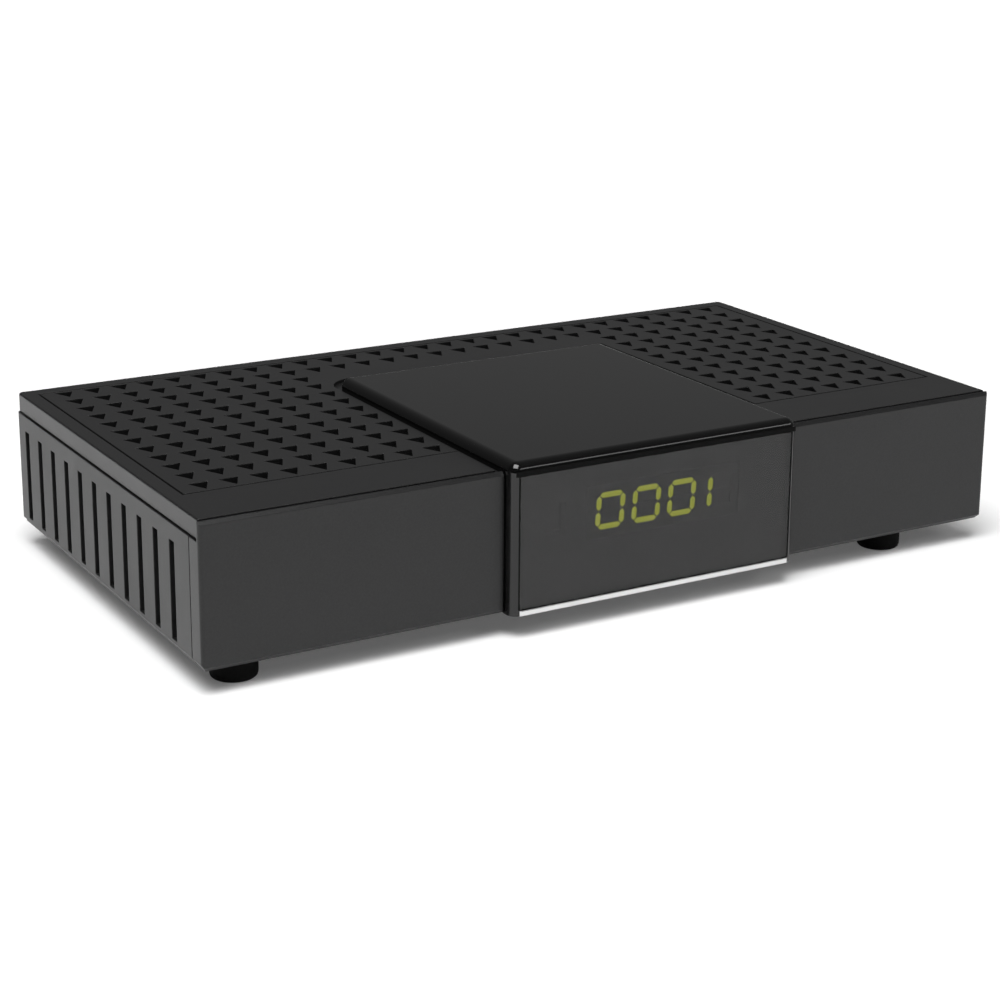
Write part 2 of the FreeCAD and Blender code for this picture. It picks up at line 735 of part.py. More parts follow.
vent_field("left", as_size(0), vent_left_columns, vent_rows)
vent_field("strip", vent_left_columns, vent_strip_columns, vent_strip_rows)
vent_field("right", vent_left_columns + vent_strip_columns, vent_right_columns, vent_rows)
add(top_cover, "posts", "Z", column_top + fit_gap, cover_under + fit_gap,
    *[centred(x, y, post_half, post_half) for x, y in columns])
cut(top_cover, "post_pilots", "Z", column_top + fit_gap, column_top + fit_gap + pilot_depth,
    *[disc(x, y, screw_radius + pilot_gap) for x, y in columns])
hook_top = shelf_top - shelf_thick - fit_gap
hook_front = front + shelf_reach + fit_gap
for name, x in (("left_hook", -cover_hook_x), ("right_hook", cover_hook_x)):
    add(top_cover, name, "X", x - hook_width / 2, x + hook_width / 2, outline(
        (hook_front, cover_under + fit_gap), (hook_front, hook_top),
        (hook_front - hook_reach, hook_top),
        (hook_front - hook_reach, hook_top - hook_thick / 2), (hook_front, hook_top - hook_thick),
        (hook_front + hook_thick, hook_top - hook_thick),
        (hook_front + hook_thick, cover_under + fit_gap)))
cut(top_cover, "tab_slots", "Z", cover_under - fit_gap, top + fit_gap,
    *[centred(x, y, tab_width / 2 + fit_gap, tab_thick / 2 + fit_gap) for x, y in panel_tabs])

# Front bezel: one section along X, with side returns, a shelf for the cover and three tongues
front_bezel = body_named("front_bezel")
add(front_bezel, "section", "X", left, right, outline(
    (front + bezel_bevel, bezel_top), (front, bezel_top - bezel_bevel),
    (front, bottom + bezel_lower_bevel),
    (front + bezel_lower_bevel, bottom), (front + bezel_chin, bottom),
    (front + bezel_chin, floor_top),
    (front + bezel_thick, floor_top), (front + bezel_thick, shelf_top - shelf_thick),
    (front + shelf_reach, shelf_top - shelf_thick), (front + shelf_reach, shelf_top),
    (front + bezel_lip, shelf_top), (front + bezel_lip, bezel_top)))
for name, low, high in (("left_return", left, left + wall), ("right_return", right - wall, right)):
    add(front_bezel, name, "X", low, high, rectangle(
        front + bezel_lip, bottom, front + bezel_return, shell_top))
skirt_room = cover_right - wall - seam_gap
cut(front_bezel, "skirt_rooms", "Z", shell_top, top,
    rectangle(left - fit_gap, front + bezel_lip, -skirt_room, rear),
    rectangle(skirt_room, front + bezel_lip, right + fit_gap, rear))
cut(front_bezel, "lower_corners", "Y", front - fit_gap, front + bezel_return + fit_gap,
    outline((left - rim_inset, bottom), (left - rim_inset, bottom - rim_height),
            (left + rim_inset, bottom - rim_height),
            (left + rim_inset, bottom), (left, bottom + rim_height),
            (left - rim_inset, bottom + rim_height)),
    outline((right + rim_inset, bottom), (right + rim_inset, bottom - rim_height),
            (right - rim_inset, bottom - rim_height),
            (right - rim_inset, bottom), (right, bottom + rim_height),
            (right + rim_inset, bottom + rim_height)))
cut(front_bezel, "saddle_seat", "Y", front - fit_gap, front + panel_seat, rectangle(
    panel_left - cutout_gap, bottom - fit_gap, panel_right + cutout_gap, top))
cut(front_bezel, "saddle_lip", "Y", front - fit_gap, front + bezel_lip + fit_gap, rectangle(
    panel_left - cutout_gap, shelf_top, panel_right + cutout_gap, top))


def display_openings(gap):
    """The places of the digit module and the infrared receiver in a front wall."""
    half_width = module_width / 2 + gap
    half_height = module_height / 2 + gap
    return (rectangle(display_x - half_width, display_z - half_height,
                      display_x + half_width, display_z + half_height),
            rectangle(infrared_x - infrared_width / 2 - gap, display_z - infrared_height / 2 - gap,
                      infrared_x + infrared_width / 2 + gap, display_z + infrared_height / 2 + gap))


cut(front_bezel, "display_openings", "Y", front - fit_gap, front + bezel_thick + fit_gap,
    *display_openings(aperture_gap))
for name, x in (("left_clip", clip_left), ("right_clip", clip_right)):
    add(front_bezel, name, "X", x - clip_width / 2, x + clip_width / 2, outline(
        (front + bezel_thick - fit_gap, front_board_base - fit_gap - clip_thick),
        (front_board_rear + clip_hook + fit_gap, front_board_base - fit_gap - clip_thick),
        (front_board_rear + clip_hook + fit_gap, front_board_base - fit_gap),
        (front_board_rear + fit_gap, front_board_base + clip_hook),
        (front_board_rear + fit_gap, front_board_base - fit_gap),
        (front_board_front, front_board_base - fit_gap),
        (front_board_front, front_board_base + clip_hook),
        (front + bezel_thick - fit_gap, front_board_base + clip_hook)))
for name, x in (("left_hook", clip_left), ("right_hook", clip_right)):
    add(front_bezel, name, "X", x - clip_width / 2, x + clip_width / 2, outline(
        (front_board_front, shelf_top - shelf_thick + fit_gap),
        (front_board_front, front_board_top - clip_hook),
        (front_board_front - clip_thick, front_board_top - clip_hook),
        (front_board_front - clip_thick, shelf_top - shelf_thick + fit_gap)))
tongue_middles = (-tongue_spread, as_size(0), tongue_spread)
add(front_bezel, "tongues", "Z", floor_top + fit_gap, floor_top + fit_gap + tongue_thick,
    *[rectangle(x - tongue_width / 2, front + bezel_lip + fit_gap,
                x + tongue_width / 2, shell_front + tongue_reach)
      for x in tongue_middles])
soften(front_bezel, "front_corners", "Fillet", bezel_corner_round,
       lambda e: (spans(e, x=left, y=front) or spans(e, x=right, y=front))
       and e.Length > skirt_height.number)

# Glossy saddle: a hollow L that runs over the cover and down the bezel, on four tabs through slots
centre_panel = body_named("centre_panel")
add(centre_panel, "saddle", "X", panel_left, panel_right, outline(
    (panel_front, bottom), (panel_front, crown), (panel_back, crown), (panel_back, recess_floor),
    (front + panel_seat - fit_gap, recess_floor), (front + panel_seat - fit_gap, bottom)))
soften(centre_panel, "front_round", "Fillet", panel_front_round,
       lambda e: spans(e, y=panel_front, z=crown))
soften(centre_panel, "side_rounds", "Fillet", panel_side_round,
       lambda e: (spans(e, x=panel_left) or spans(e, x=panel_right))
       and (e.BoundBox.ZMax > crown.number - 0.01 or e.BoundBox.YMax < panel_front.number + 0.01)
       and e.BoundBox.YMin < panel_back.number - 0.01)
soften(centre_panel, "back_round", "Fillet", edge_round,
       lambda e: spans(e, y=panel_back)
           and e.BoundBox.ZMax > crown.number - 2 * panel_side_round.number
       and e.BoundBox.ZMin > recess_floor.number + 0.01)
cut(centre_panel, "front_hollow", "Y", panel_front + panel_wall, front + panel_seat, rectangle(
    panel_left + panel_wall, bottom + panel_wall, panel_right - panel_wall, crown - panel_wall))
cut(centre_panel, "top_hollow", "Z", recess_floor - fit_gap, crown - panel_wall, rectangle(
    panel_left + panel_wall, front + panel_seat - fit_gap * 2,
    panel_right - panel_wall, panel_back - panel_wall))
cut(centre_panel, "window_seat", "Y", panel_front - fit_gap,
    panel_front + window_thick + fit_gap / 2,
    rectangle(window_left, window_base, window_right, window_top))
cut(centre_panel, "display_openings", "Y", panel_front, panel_front + panel_wall + fit_gap,
    *display_openings(aperture_gap))
cut(centre_panel, "strip_seat", "Y", panel_front - fit_gap, panel_front + strip_thick, rectangle(
    window_left, bottom - fit_gap, window_right, window_base))
add(centre_panel, "tabs", "Z", cover_under - tab_reach, crown - panel_wall + fit_gap,
    *[centred(x, y, tab_width / 2, tab_thick / 2) for x, y in panel_tabs])

# Smoked window and the bright strip under it
display_window = body_named("display_window")
window_fit = fit_gap / 2
add(display_window, "pane", "Y", panel_front, panel_front + window_thick, rectangle(
    window_left + window_fit, window_base + window_fit,
    window_right - window_fit, window_top - window_fit))
soften(display_window, "pane_bevel", "Chamfer", window_bevel, lambda e: spans(e, y=panel_front))

chrome_strip = body_named("chrome_strip")
add(chrome_strip, "bar", "X", window_left + window_fit, window_right - window_fit, rectangle(
    panel_front - strip_proud, bottom, panel_front + strip_thick, window_base - window_fit))
soften(chrome_strip, "bar_round", "Fillet", strip_round,
       lambda e: spans(e, y=panel_front - strip_proud))

# Rear plate, slid down between the lip and the rib of the tray
rear_panel = body_named("rear_panel")
plate_base = floor_top + fit_gap
plate_top = cover_under - fit_gap
add(rear_panel, "plate", "Y", plate_front, plate_rear, rectangle(
    cover_left + wall + fit_gap, plate_base, cover_right - wall - fit_gap, plate_top))
port_middle = board_top + usb_height / 2 + fit_gap
scart_middle = board_top + scart_height / 2
audio_middle = board_top + audio_size / 2
supply_middle = board_top + supply_height / 2
tuner_base = board_top + fit_gap
coax_middle = tuner_base + tuner_height / 2


def socket_room(x, z, width, height):
    half_width = width / 2 + cutout_gap
    half_height = height / 2 + cutout_gap
    return rectangle(x - half_width, z - half_height, x + half_width, z + half_height)


cut(rear_panel, "socket_rooms", "Y", plate_front - fit_gap, plate_rear + fit_gap,
    disc(tuner_x, coax_middle, coax_radius + cutout_gap),
    socket_room(usb_x, port_middle, usb_width, usb_height),
    socket_room(hdmi_x, port_middle, hdmi_width, hdmi_height),
    socket_room(scart_x, scart_middle, scart_width, scart_height),
    disc(audio_x, audio_middle, audio_radius + cutout_gap),
    socket_room(supply_x, supply_middle, supply_width, supply_height),
    socket_room(power_x, power_z, power_width, power_height))

# Rubber feet, bonded to the floor of the tray
FOOT_NAMES = ("foot_front_left", "foot_front_right", "foot_rear_left", "foot_rear_right")
for label, (x, y) in zip(FOOT_NAMES, feet):
    foot = body_named(label)
    add(foot, "pad", "Z", as_size(0), bottom, disc(x, y, foot_radius))


def screw(name, x, y, seat, length, upward):
    """A round-headed screw seated at a level, driven up or down from there."""
    head_base = seat - screw_head_height if upward else seat
    shank_base = seat if upward else seat - length
    head = rod(name + "_head", x, y, head_base, screw_head_radius, screw_head_height)
    shank = rod(name + "_shank", x, y, shank_base, screw_radius, length)
    return fused(name, head, shank)


keep(group("case_screw_group", [
    screw(f"case_screw_{i}", x, y, screw_seat, case_screw_length, True)
    for i, (x, y) in enumerate(columns)]), "case_screws")

# Main board on four standoffs, held by four screws
main_board = body_named("main_board")
add(main_board, "laminate", "Z", board_bottom, board_top,
    rectangle(board_left, board_front, board_right, board_rear))
cut(main_board, "holes", "Z", board_bottom - fit_gap, board_top + fit_gap,
    *[disc(x, y, board_hole_radius) for x, y in board_holes])
keep(group("board_screw_group", [
    screw(f"board_screw_{i}", x, y, board_top, board_screw_length, False)
    for i, (x, y) in enumerate(board_holes)]), "board_screws")

# Front board with the digit module, the infrared receiver and the key's switch
front_board = body_named("front_board")
add(front_board, "laminate", "Y", front_board_front, front_board_rear, rectangle(
    display_x - front_board_left, front_board_base, key_gap + right - wall - switch_thick,
    front_board_top))
led_module = keep(block("led_module", (display_x - module_width / 2, display_x + module_width / 2),
                        (module_front, front_board_front),
                        (display_z - module_height / 2, display_z + module_height / 2)), "led_module")


def bar_outline(start, end, half):
    """A segment's six corners: pointed ends on the line from start to end."""
    (x0, z0), (x1, z1) = start, end
    length = math.hypot(x1 - x0, z1 - z0)
    ux, uz = (x1 - x0) / length, (z1 - z0) / length
    near, far = half, length - half
    spots = ((0, 0), (near, half), (far, half), (length, 0), (far, -half), (near, -half))
    return [(x0 + ux * a - uz * b, z0 + uz * a + ux * b) for a, b in spots]


def digit_bars():
    """The seven segments of a digit about its middle, each as a pair of end points."""
    w, t = (digit_width - segment_width).number / 2, (digit_height - segment_width).number / 2
    gap = segment_gap.number
    return {
        "a": ((-w + gap, t), (w - gap, t)), "b": ((w, t - gap), (w, gap)),
        "c": ((w, -gap), (w, -t + gap)),
        "d": ((-w + gap, -t), (w - gap, -t)), "e": ((-w, -gap), (-w, -t + gap)),
        "f": ((-w, t - gap), (-w, gap)), "g": ((-w + gap, 0), (w - gap, 0))}


def segments(label, wanted):
    """The chosen segments of each digit as thin slanted prisms on the module's face."""
    slant = math.tan(math.radians(digit_slant.number))
    face = module_front.number
    prisms = []
    for place, letters in enumerate(wanted):
        middle = display_x.number + (place - (digit_count.number - 1) / 2) * digit_pitch.number
        if place == digit_count.number - 1:
            middle += last_digit_shift.number
        for letter in letters:
            corners_2d = bar_outline(*digit_bars()[letter], segment_width.number / 2)
            spots = [FreeCAD.Vector(middle + x + z * slant, face, display_z.number + z)
                     for x, z in corners_2d]
            wire = Part.makePolygon(spots + [spots[0]])
            prisms.append(Part.Face(wire).extrude(FreeCAD.Vector(0, -segment_thick.number, 0)))
    feature = doc.addObject("Part::Feature", label)
    feature.Shape = Part.makeCompound(prisms)
    feature.Placement = FreeCAD.Placement()
    return keep(feature, label)


LIT = ("abcdef", "abcdef", "abcdef", "ef")
segments("lit_segments", LIT)
segments("dark_segments", ["".join(c for c in "abcdefg" if c not in lit) for lit in LIT])

infrared_front = front_board_front - infrared_body
infrared_case = block("infrared_case",
                      (infrared_x - infrared_width / 2, infrared_x + infrared_width / 2),
                      (infrared_front, front_board_front),
                      (display_z - infrared_height / 2, display_z + infrared_height / 2))
infrared_lens = rod("infrared_lens", infrared_x, infrared_front, display_z - infrared_dome,
                    infrared_dome, infrared_dome * 2)
keep(fused("infrared_receiver", infrared_case, infrared_lens), "infrared_receiver")

# Standby key in the right side wall: a round cap with a flange behind the wall, on a switch's plunger
wall_inside = right - wall
flange_front = wall_inside - fit_gap
flange_back = flange_front - key_flange_thick
switch_front = flange_back - plunger_length + plunger_sunk
key_cap = rod("key_cap", flange_back, key_y, key_z, key_radius, right - key_recess - flange_back, "X")
key_flange = rod("key_flange", flange_back, key_y, key_z, key_flange_radius, key_flange_thick, "X")
keep(fused("standby_key", key_cap, key_flange), "standby_key")
keep(rod("key_plunger", flange_back - plunger_length, key_y, key_z,
         plunger_radius, plunger_length, "X"), "key_plunger")
key_switch_block = block("key_switch_block", (switch_front - switch_thick, switch_front),
                         (front_board_rear, front_board_rear + switch_size),
                         (key_z - switch_size / 2, key_z + switch_size / 2))
plunger_room = rod("plunger_room", switch_front - plunger_sunk - key_travel - key_gap, key_y, key_z,
                   plunger_radius + fit_gap, plunger_sunk + key_travel + key_gap + fit_gap, "X")
keep(less("key_switch", key_switch_block, plunger_room), "key_switch")

# Flat cable from the front board to the main board, between two plugs
plug_x = (cable_x - cable_half - fit_gap, cable_x + cable_half + fit_gap)
front_plug = block("front_plug", plug_x, (front_board_rear, front_board_rear + plug_depth),
                   (board_top, board_top + plug_height))
rear_plug = block("rear_plug", plug_x,
                  (board_front + plug_rise, board_front + plug_rise + plug_depth),
                  (board_top, board_top + plug_height))
keep(group("cable_plug_group", [front_plug, rear_plug]), "cable_plugs")
cable_z = board_top + (plug_height - cable_thick) / 2
keep(block("flat_cable", (cable_x - cable_half, cable_x + cable_half),
           (front_board_rear + plug_depth, board_front + plug_rise),
           (cable_z, cable_z + cable_thick)), "flat_cable")

# Tuner can with the aerial connector, its dielectric and its nut
tuner_can = body_named("tuner_can")
tuner_rear = plate_front - tuner_setback
tuner_front = tuner_rear - tuner_depth
add(tuner_can, "box", "Z", tuner_base, tuner_base + tuner_height, rectangle(
    tuner_x - tuner_width / 2, tuner_front, tuner_x + tuner_width / 2, tuner_rear))
tuner_top = tuner_base + tuner_height
lid_half = tuner_width / 2 - tuner_lid * 2
add(tuner_can, "lid_step", "Z", tuner_top, tuner_top + tuner_lid, rectangle(
    tuner_x - lid_half, tuner_front + tuner_lid * 2,
    tuner_x + lid_half, tuner_rear - tuner_lid * 2))
coax_end = rear + jack_reach
nut_rear = plate_rear + nut_thick
coax_shoulder = rod("coax_shoulder", tuner_x, tuner_rear, coax_middle, coax_shoulder_radius,
                    nut_rear - tuner_rear, "Y")
coax_thread = rod("coax_thread", tuner_x, nut_rear, coax_middle, coax_radius,
                  coax_end - nut_rear, "Y")
coax_barrel = fused("coax_barrel", coax_shoulder, coax_thread)
coax_bore = rod("coax_bore", tuner_x, tuner_rear + panel_wall, coax_middle, coax_core_radius,
                coax_end - tuner_rear - panel_wall + fit_gap, "Y")
keep(less("coax_connector", coax_barrel, coax_bore), "coax_connector")
coax_plug = rod("coax_plug", tuner_x, tuner_rear + panel_wall, coax_middle, coax_core_radius,
                coax_end - tuner_rear - panel_wall - coax_plug_sunk, "Y")
coax_pin_hole = rod("coax_pin_hole", tuner_x, coax_end - coax_plug_sunk - coax_pin_depth, coax_middle,
                    coax_pin_radius, coax_pin_depth + coax_plug_sunk, "Y")
keep(less("coax_dielectric", coax_plug, coax_pin_hole), "coax_dielectric")
coax_nut = body_named("coax_nut")
nut_turns = [math.tau * i / NUT_SIDES for i in range(NUT_SIDES)]
nut_corners = [(tuner_x + nut_radius * math.cos(turn), coax_middle + nut_radius * math.sin(turn))
               for turn in nut_turns]
add(coax_nut, "hexagon", "Y", plate_rear, nut_rear, outline(*nut_corners),
    disc(tuner_x, coax_middle, coax_shoulder_radius + pilot_gap))

# Data sockets: folded metal shells round a plastic tongue
port_end = plate_rear + port_proud
port_start = port_end - port_depth


def shell_and_tongue(label, x, outer, inner, tongue_width_, tongue_low, tongue_high):
    shell = body_named(label + "_shell")
    add(shell, "tube", "Y", port_start, port_end, outer)
    cut(shell, "mouth", "Y", port_start + metal_thick, port_end + fit_gap, inner)
    keep(block(label + "_tongue", (x - tongue_width_ / 2, x + tongue_width_ / 2),
               (port_start + metal_thick, port_start + metal_thick + tongue_depth),
               (tongue_low, tongue_high)), label + "_tongue")


usb_low = port_middle - usb_height / 2
shell_and_tongue(
    "usb", usb_x,
    rectangle(usb_x - usb_width / 2, usb_low, usb_x + usb_width / 2, usb_low + usb_height),
    rectangle(usb_x - usb_width / 2 + metal_thick, usb_low + metal_thick,
              usb_x + usb_width / 2 - metal_thick, usb_low + usb_height - metal_thick),
    usb_tongue_width,
    usb_low + usb_height - metal_thick - usb_tongue_thick, usb_low + usb_height - metal_thick)
hdmi_low = port_middle - hdmi_height / 2


def hdmi_outline(inset):
    """The socket's mouth, narrower at the foot."""
    low, high = hdmi_low + inset, hdmi_low + hdmi_height - inset
    half = hdmi_width / 2 - inset
    return outline((hdmi_x - half + hdmi_notch, low), (hdmi_x + half - hdmi_notch, low),
                   (hdmi_x + half, low + hdmi_notch), (hdmi_x + half, high),
                   (hdmi_x - half, high), (hdmi_x - half, low + hdmi_notch))


shell_and_tongue("hdmi", hdmi_x, hdmi_outline(as_size(0)), hdmi_outline(metal_thick),
                 hdmi_tongue_width, port_middle, port_middle + hdmi_tongue_thick)

# Twenty-one-way video socket: a D-shaped block with a groove for the plug's shell and two rows of slots
scart_socket = body_named("scart_socket")
scart_end = plate_rear + scart_proud


def scart_outline(inset):
    """The block's outline, with its two lower corners cut away."""
    low, high = scart_middle - scart_height / 2 + inset, scart_middle + scart_height / 2 - inset
    half = scart_width / 2 - inset
    return outline((scart_x - half + scart_corner, low), (scart_x + half, low),
                   (scart_x + half, high), (scart_x - half, high),
                   (scart_x - half, low + scart_corner))


add(scart_socket, "block", "Y", scart_end - scart_depth, scart_end, scart_outline(as_size(0)))
cut(scart_socket, "shell_groove", "Y", scart_end - scart_groove_depth, scart_end + fit_gap,
    scart_outline(scart_shell), scart_outline(scart_shell + scart_groove))
first_contact = scart_x - scart_slot_pitch * (scart_slot_count - 1) / 2
scart_rows = (scart_middle - scart_row_pitch / 2, scart_middle + scart_row_pitch / 2)
for name, row in (("lower_slot", scart_rows[0]), ("upper_slot", scart_rows[1])):
    mouth = rectangle(first_contact - scart_slot_width / 2, row - scart_slot_height / 2,
                      first_contact + scart_slot_width / 2, row + scart_slot_height / 2)
    contact_slot = cut(scart_socket, name, "Y", scart_end - scart_slot_depth,
                       scart_end + fit_gap, mouth)
    repeat(scart_socket, contact_slot, name + "s", scart_slot_pitch, scart_slot_count)
scart_blades = []
for row, middle in enumerate(scart_rows):
    for i in range(int(scart_slot_count.number)):
        x = first_contact + scart_slot_pitch * i
        scart_blades.append(block(f"scart_blade_{row}_{i}",
                                  (x - scart_contact / 2, x + scart_contact / 2),
                                  (scart_end - scart_slot_depth, scart_end - panel_wall),
                                  (middle - scart_slot_height / 2 + fit_gap,
                                   middle + scart_slot_height / 2 - fit_gap)))
keep(group("scart_blade_group", scart_blades), "scart_contacts")

# Digital audio jack: a block on the board, a plated sleeve and its insulating core
audio_face = plate_front - cutout_gap
keep(block("audio_block", (audio_x - audio_size / 2, audio_x + audio_size / 2),
           (audio_face - audio_depth, audio_face), (board_top, board_top + audio_size)),
           "audio_jack_block")
audio_length = rear + audio_reach - audio_face
audio_shoulder = rod("audio_shoulder", audio_x, audio_face, audio_middle, audio_shoulder_radius,
                     plate_rear - audio_face, "Y")
audio_collar = rod("audio_collar", audio_x, plate_rear, audio_middle, audio_radius,
                   rear + audio_reach - plate_rear, "Y")
audio_outer = fused("audio_outer", audio_shoulder, audio_collar)
audio_inner = rod("audio_inner", audio_x, audio_face - fit_gap, audio_middle,
                  audio_radius - audio_sleeve, audio_length + fit_gap * 2, "Y")
keep(less("audio_sleeve_tube", audio_outer, audio_inner), "audio_jack_sleeve")
audio_fill = rod("audio_fill", audio_x, audio_face, audio_middle, audio_radius - audio_sleeve,
                 audio_length - panel_wall, "Y")
audio_bore = rod("audio_bore", audio_x, audio_face + panel_wall, audio_middle, audio_bore_radius,
                 audio_length, "Y")
keep(less("audio_core", audio_fill, audio_bore), "audio_jack_core")

# Supply inlet: a block with a round bore and a centre pin
supply_end = plate_rear + port_proud
supply_block = block("supply_block", (supply_x - supply_width / 2, supply_x + supply_width / 2),
                     (supply_end - supply_depth, supply_end), (board_top, board_top + supply_height))
supply_bore = rod("supply_bore", supply_x, supply_end - supply_bore_depth, supply_middle,
                  supply_bore_radius, supply_bore_depth + fit_gap, "Y")
keep(less("supply_inlet", supply_block, supply_bore), "supply_inlet")
keep(rod("supply_pin", supply_x, supply_end - supply_bore_depth, supply_middle, supply_pin_radius,
         supply_bore_depth - port_proud, "Y"), "supply_pin")

# Power switch: a flanged block with a well, and a rocker that tips in it on two pins
power_switch = body_named("power_switch")
flange_half_width = power_width / 2 + power_flange
flange_half_height = power_height / 2 + power_flange
add(power_switch, "case", "Y", plate_rear - power_depth, plate_rear + fit_gap, rectangle(
    power_x - power_width / 2, power_z - power_height / 2,
    power_x + power_width / 2, power_z + power_height / 2))
add(power_switch, "flange", "Y", plate_rear, plate_rear + power_flange_thick, rectangle(
    power_x - flange_half_width, power_z - flange_half_height,
    power_x + flange_half_width, power_z + flange_half_height))
cut(power_switch, "well", "Y", plate_rear + power_flange_thick - power_well_depth,
    plate_rear + power_flange_thick + fit_gap, rectangle(
        power_x - power_well_width / 2, power_z - power_well_height / 2,
        power_x + power_well_width / 2, power_z + power_well_height / 2))
pin_half = rocker_width / 2 + rocker_pin_reach
cut(power_switch, "pin_sockets", "X", power_x - pin_half - fit_gap, power_x + pin_half + fit_gap,
    disc(pivot_y, power_z, rocker_pin_radius + rocker_pin_gap))
well_reach_x = power_well_width / 2 + fit_gap
well_reach_z = power_well_height / 2 + fit_gap
soften(power_switch, "flange_bevel", "Chamfer", edge_round,
       lambda e: spans(e, y=plate_rear + power_flange_thick) and (
           abs(e.BoundBox.Center.x - power_x.number) > well_reach_x.number
           or abs(e.BoundBox.Center.z - power_z.number) > well_reach_z.number))
keep(group("terminal_group", [
    block(f"terminal_{i}", (power_x - terminal_half, power_x + terminal_half),
          (plate_rear - power_depth - terminal_length, plate_rear - power_depth),
          (z - terminal_thick / 2, z + terminal_thick / 2))
    for i, z in enumerate((power_z - terminal_offset, power_z + terminal_offset))]),
    "switch_terminals")

power_rocker = body_named("power_rocker")
add(power_rocker, "cap", "X", -rocker_width / 2, rocker_width / 2, outline(
    (rocker_dip, as_size(0)), (rocker_rise, rocker_half), (-rocker_foot, rocker_foot_half),
    (-rocker_foot, -rocker_foot_half), (rocker_rise, -rocker_half)))
add(power_rocker, "pins", "X", -pin_half, pin_half, disc(as_size(0), as_size(0), rocker_pin_radius))
soften(power_rocker, "tips", "Chamfer", edge_round,
       lambda e: e.BoundBox.YMin > rocker_rise.number - 0.01
           and e.BoundBox.XLength > rocker_width.number - 0.01)
power_rocker.Placement = FreeCAD.Placement(FreeCAD.Vector(),
                                           FreeCAD.Rotation(FreeCAD.Vector(1, 0, 0), 0))
bind(power_rocker, "Placement.Base.x", power_x)
bind(power_rocker, "Placement.Base.y", pivot_y)
bind(power_rocker, "Placement.Base.z", power_z)
bind(power_rocker, "Placement.Rotation.Angle", -rocker_tilt)

# Processor with its finned heat sink, memory, crystal, chokes, capacitors and regulators
chip_x = as_size(0)
chip_y = (board_front + board_rear) / 2 - cable_half
sink_top = board_top + chip_thick + sink_height
keep(block("processor_block", (chip_x - chip_size / 2, chip_x + chip_size / 2),
           (chip_y - chip_size / 2, chip_y + chip_size / 2), (board_top, board_top + chip_thick)),
           "processor")
heat_sink = body_named("heat_sink")
add(heat_sink, "plate", "Z", board_top + chip_thick, board_top + chip_thick + sink_base, rectangle(
    chip_x - sink_size / 2, chip_y - sink_size / 2, chip_x + sink_size / 2, chip_y + sink_size / 2))
first_fin = add(heat_sink, "fin", "Z", board_top + chip_thick + sink_base, sink_top, rectangle(
    chip_x - sink_size / 2, chip_y - sink_size / 2,
    chip_x - sink_size / 2 + sink_fin, chip_y + sink_size / 2))
repeat(heat_sink, first_fin, "fins", (sink_size - sink_fin) / (sink_fin_count - 1), sink_fin_count)

keep(group("memory_group", [
    block(f"memory_{i}", (memory_x - memory_width / 2, memory_x + memory_width / 2),
          (y - memory_length / 2, y + memory_length / 2), (board_top, board_top + memory_thick))
    for i, y in enumerate((chip_y - memory_width, chip_y + memory_width))]), "memory_chips")
crystal_x = -memory_x / 2 - memory_width
crystal = body_named("crystal")
add(crystal, "can", "Z", board_top, board_top + crystal_height, rectangle(
    crystal_x - crystal_width / 2, chip_y - crystal_length / 2, crystal_x + crystal_width / 2,
    chip_y + crystal_length / 2))
soften(crystal, "can_ends", "Fillet", crystal_width / 2 - fit_gap,
       lambda e: e.BoundBox.ZLength > crystal_height.number - 0.01)
choke_x = board_left + choke_side_inset
choke_y = board_front + choke_front_inset
keep(group("choke_group", [
    block(f"choke_{i}",
          (choke_x + choke_pitch * i - choke_size / 2, choke_x + choke_pitch * i + choke_size / 2),
          (choke_y - choke_size / 2, choke_y + choke_size / 2),
          (board_top, board_top + choke_height))
    for i in range(CHOKE_COUNT)]), "power_chokes")
keep(group("capacitor_group", [
    rod(f"large_can_{i}", choke_x + choke_pitch * i, choke_y + choke_pitch, board_top,
        can_radius, can_height)
    for i in range(LARGE_CAN_COUNT)] + [
    rod("small_can", choke_x, choke_y - choke_pitch, board_top,
        small_can_radius, small_can_height)]), "capacitors")
regulator_x = choke_x + choke_pitch * CHOKE_COUNT
keep(group("regulator_group", [
    block(f"regulator_{i}",
          (regulator_x - regulator_width / 2, regulator_x + regulator_width / 2),
          (choke_y + choke_pitch * i - regulator_length / 2,
           choke_y + choke_pitch * i + regulator_length / 2),
          (board_top, board_top + regulator_thick))
    for i in range(REGULATOR_COUNT)]), "regulators")

doc.recompute()
for thing in doc.Objects:
    if "Invalid" in thing.State or "Error" in thing.State:
        raise RuntimeError(f"{thing.Label} has failed: {thing.State}")
    if thing.TypeId == "PartDesign::Pocket":
        if thing.Shape.Volume >= thing.BaseFeature.Shape.Volume:
            raise RuntimeError(f"{thing.Label} cuts nothing")
for node in nodes:
    if node.Shape.isNull() or not node.Shape.isValid():
        raise RuntimeError(f"{node.Label} has no valid shape")

os.makedirs("parts", exist_ok=True)
for node in nodes:
    node.Shape.exportStep(f"parts/{node.Label}.step")
print(len(nodes), "nodes")
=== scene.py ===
import math

import bmesh
import bpy
from mathutils import Matrix, Vector


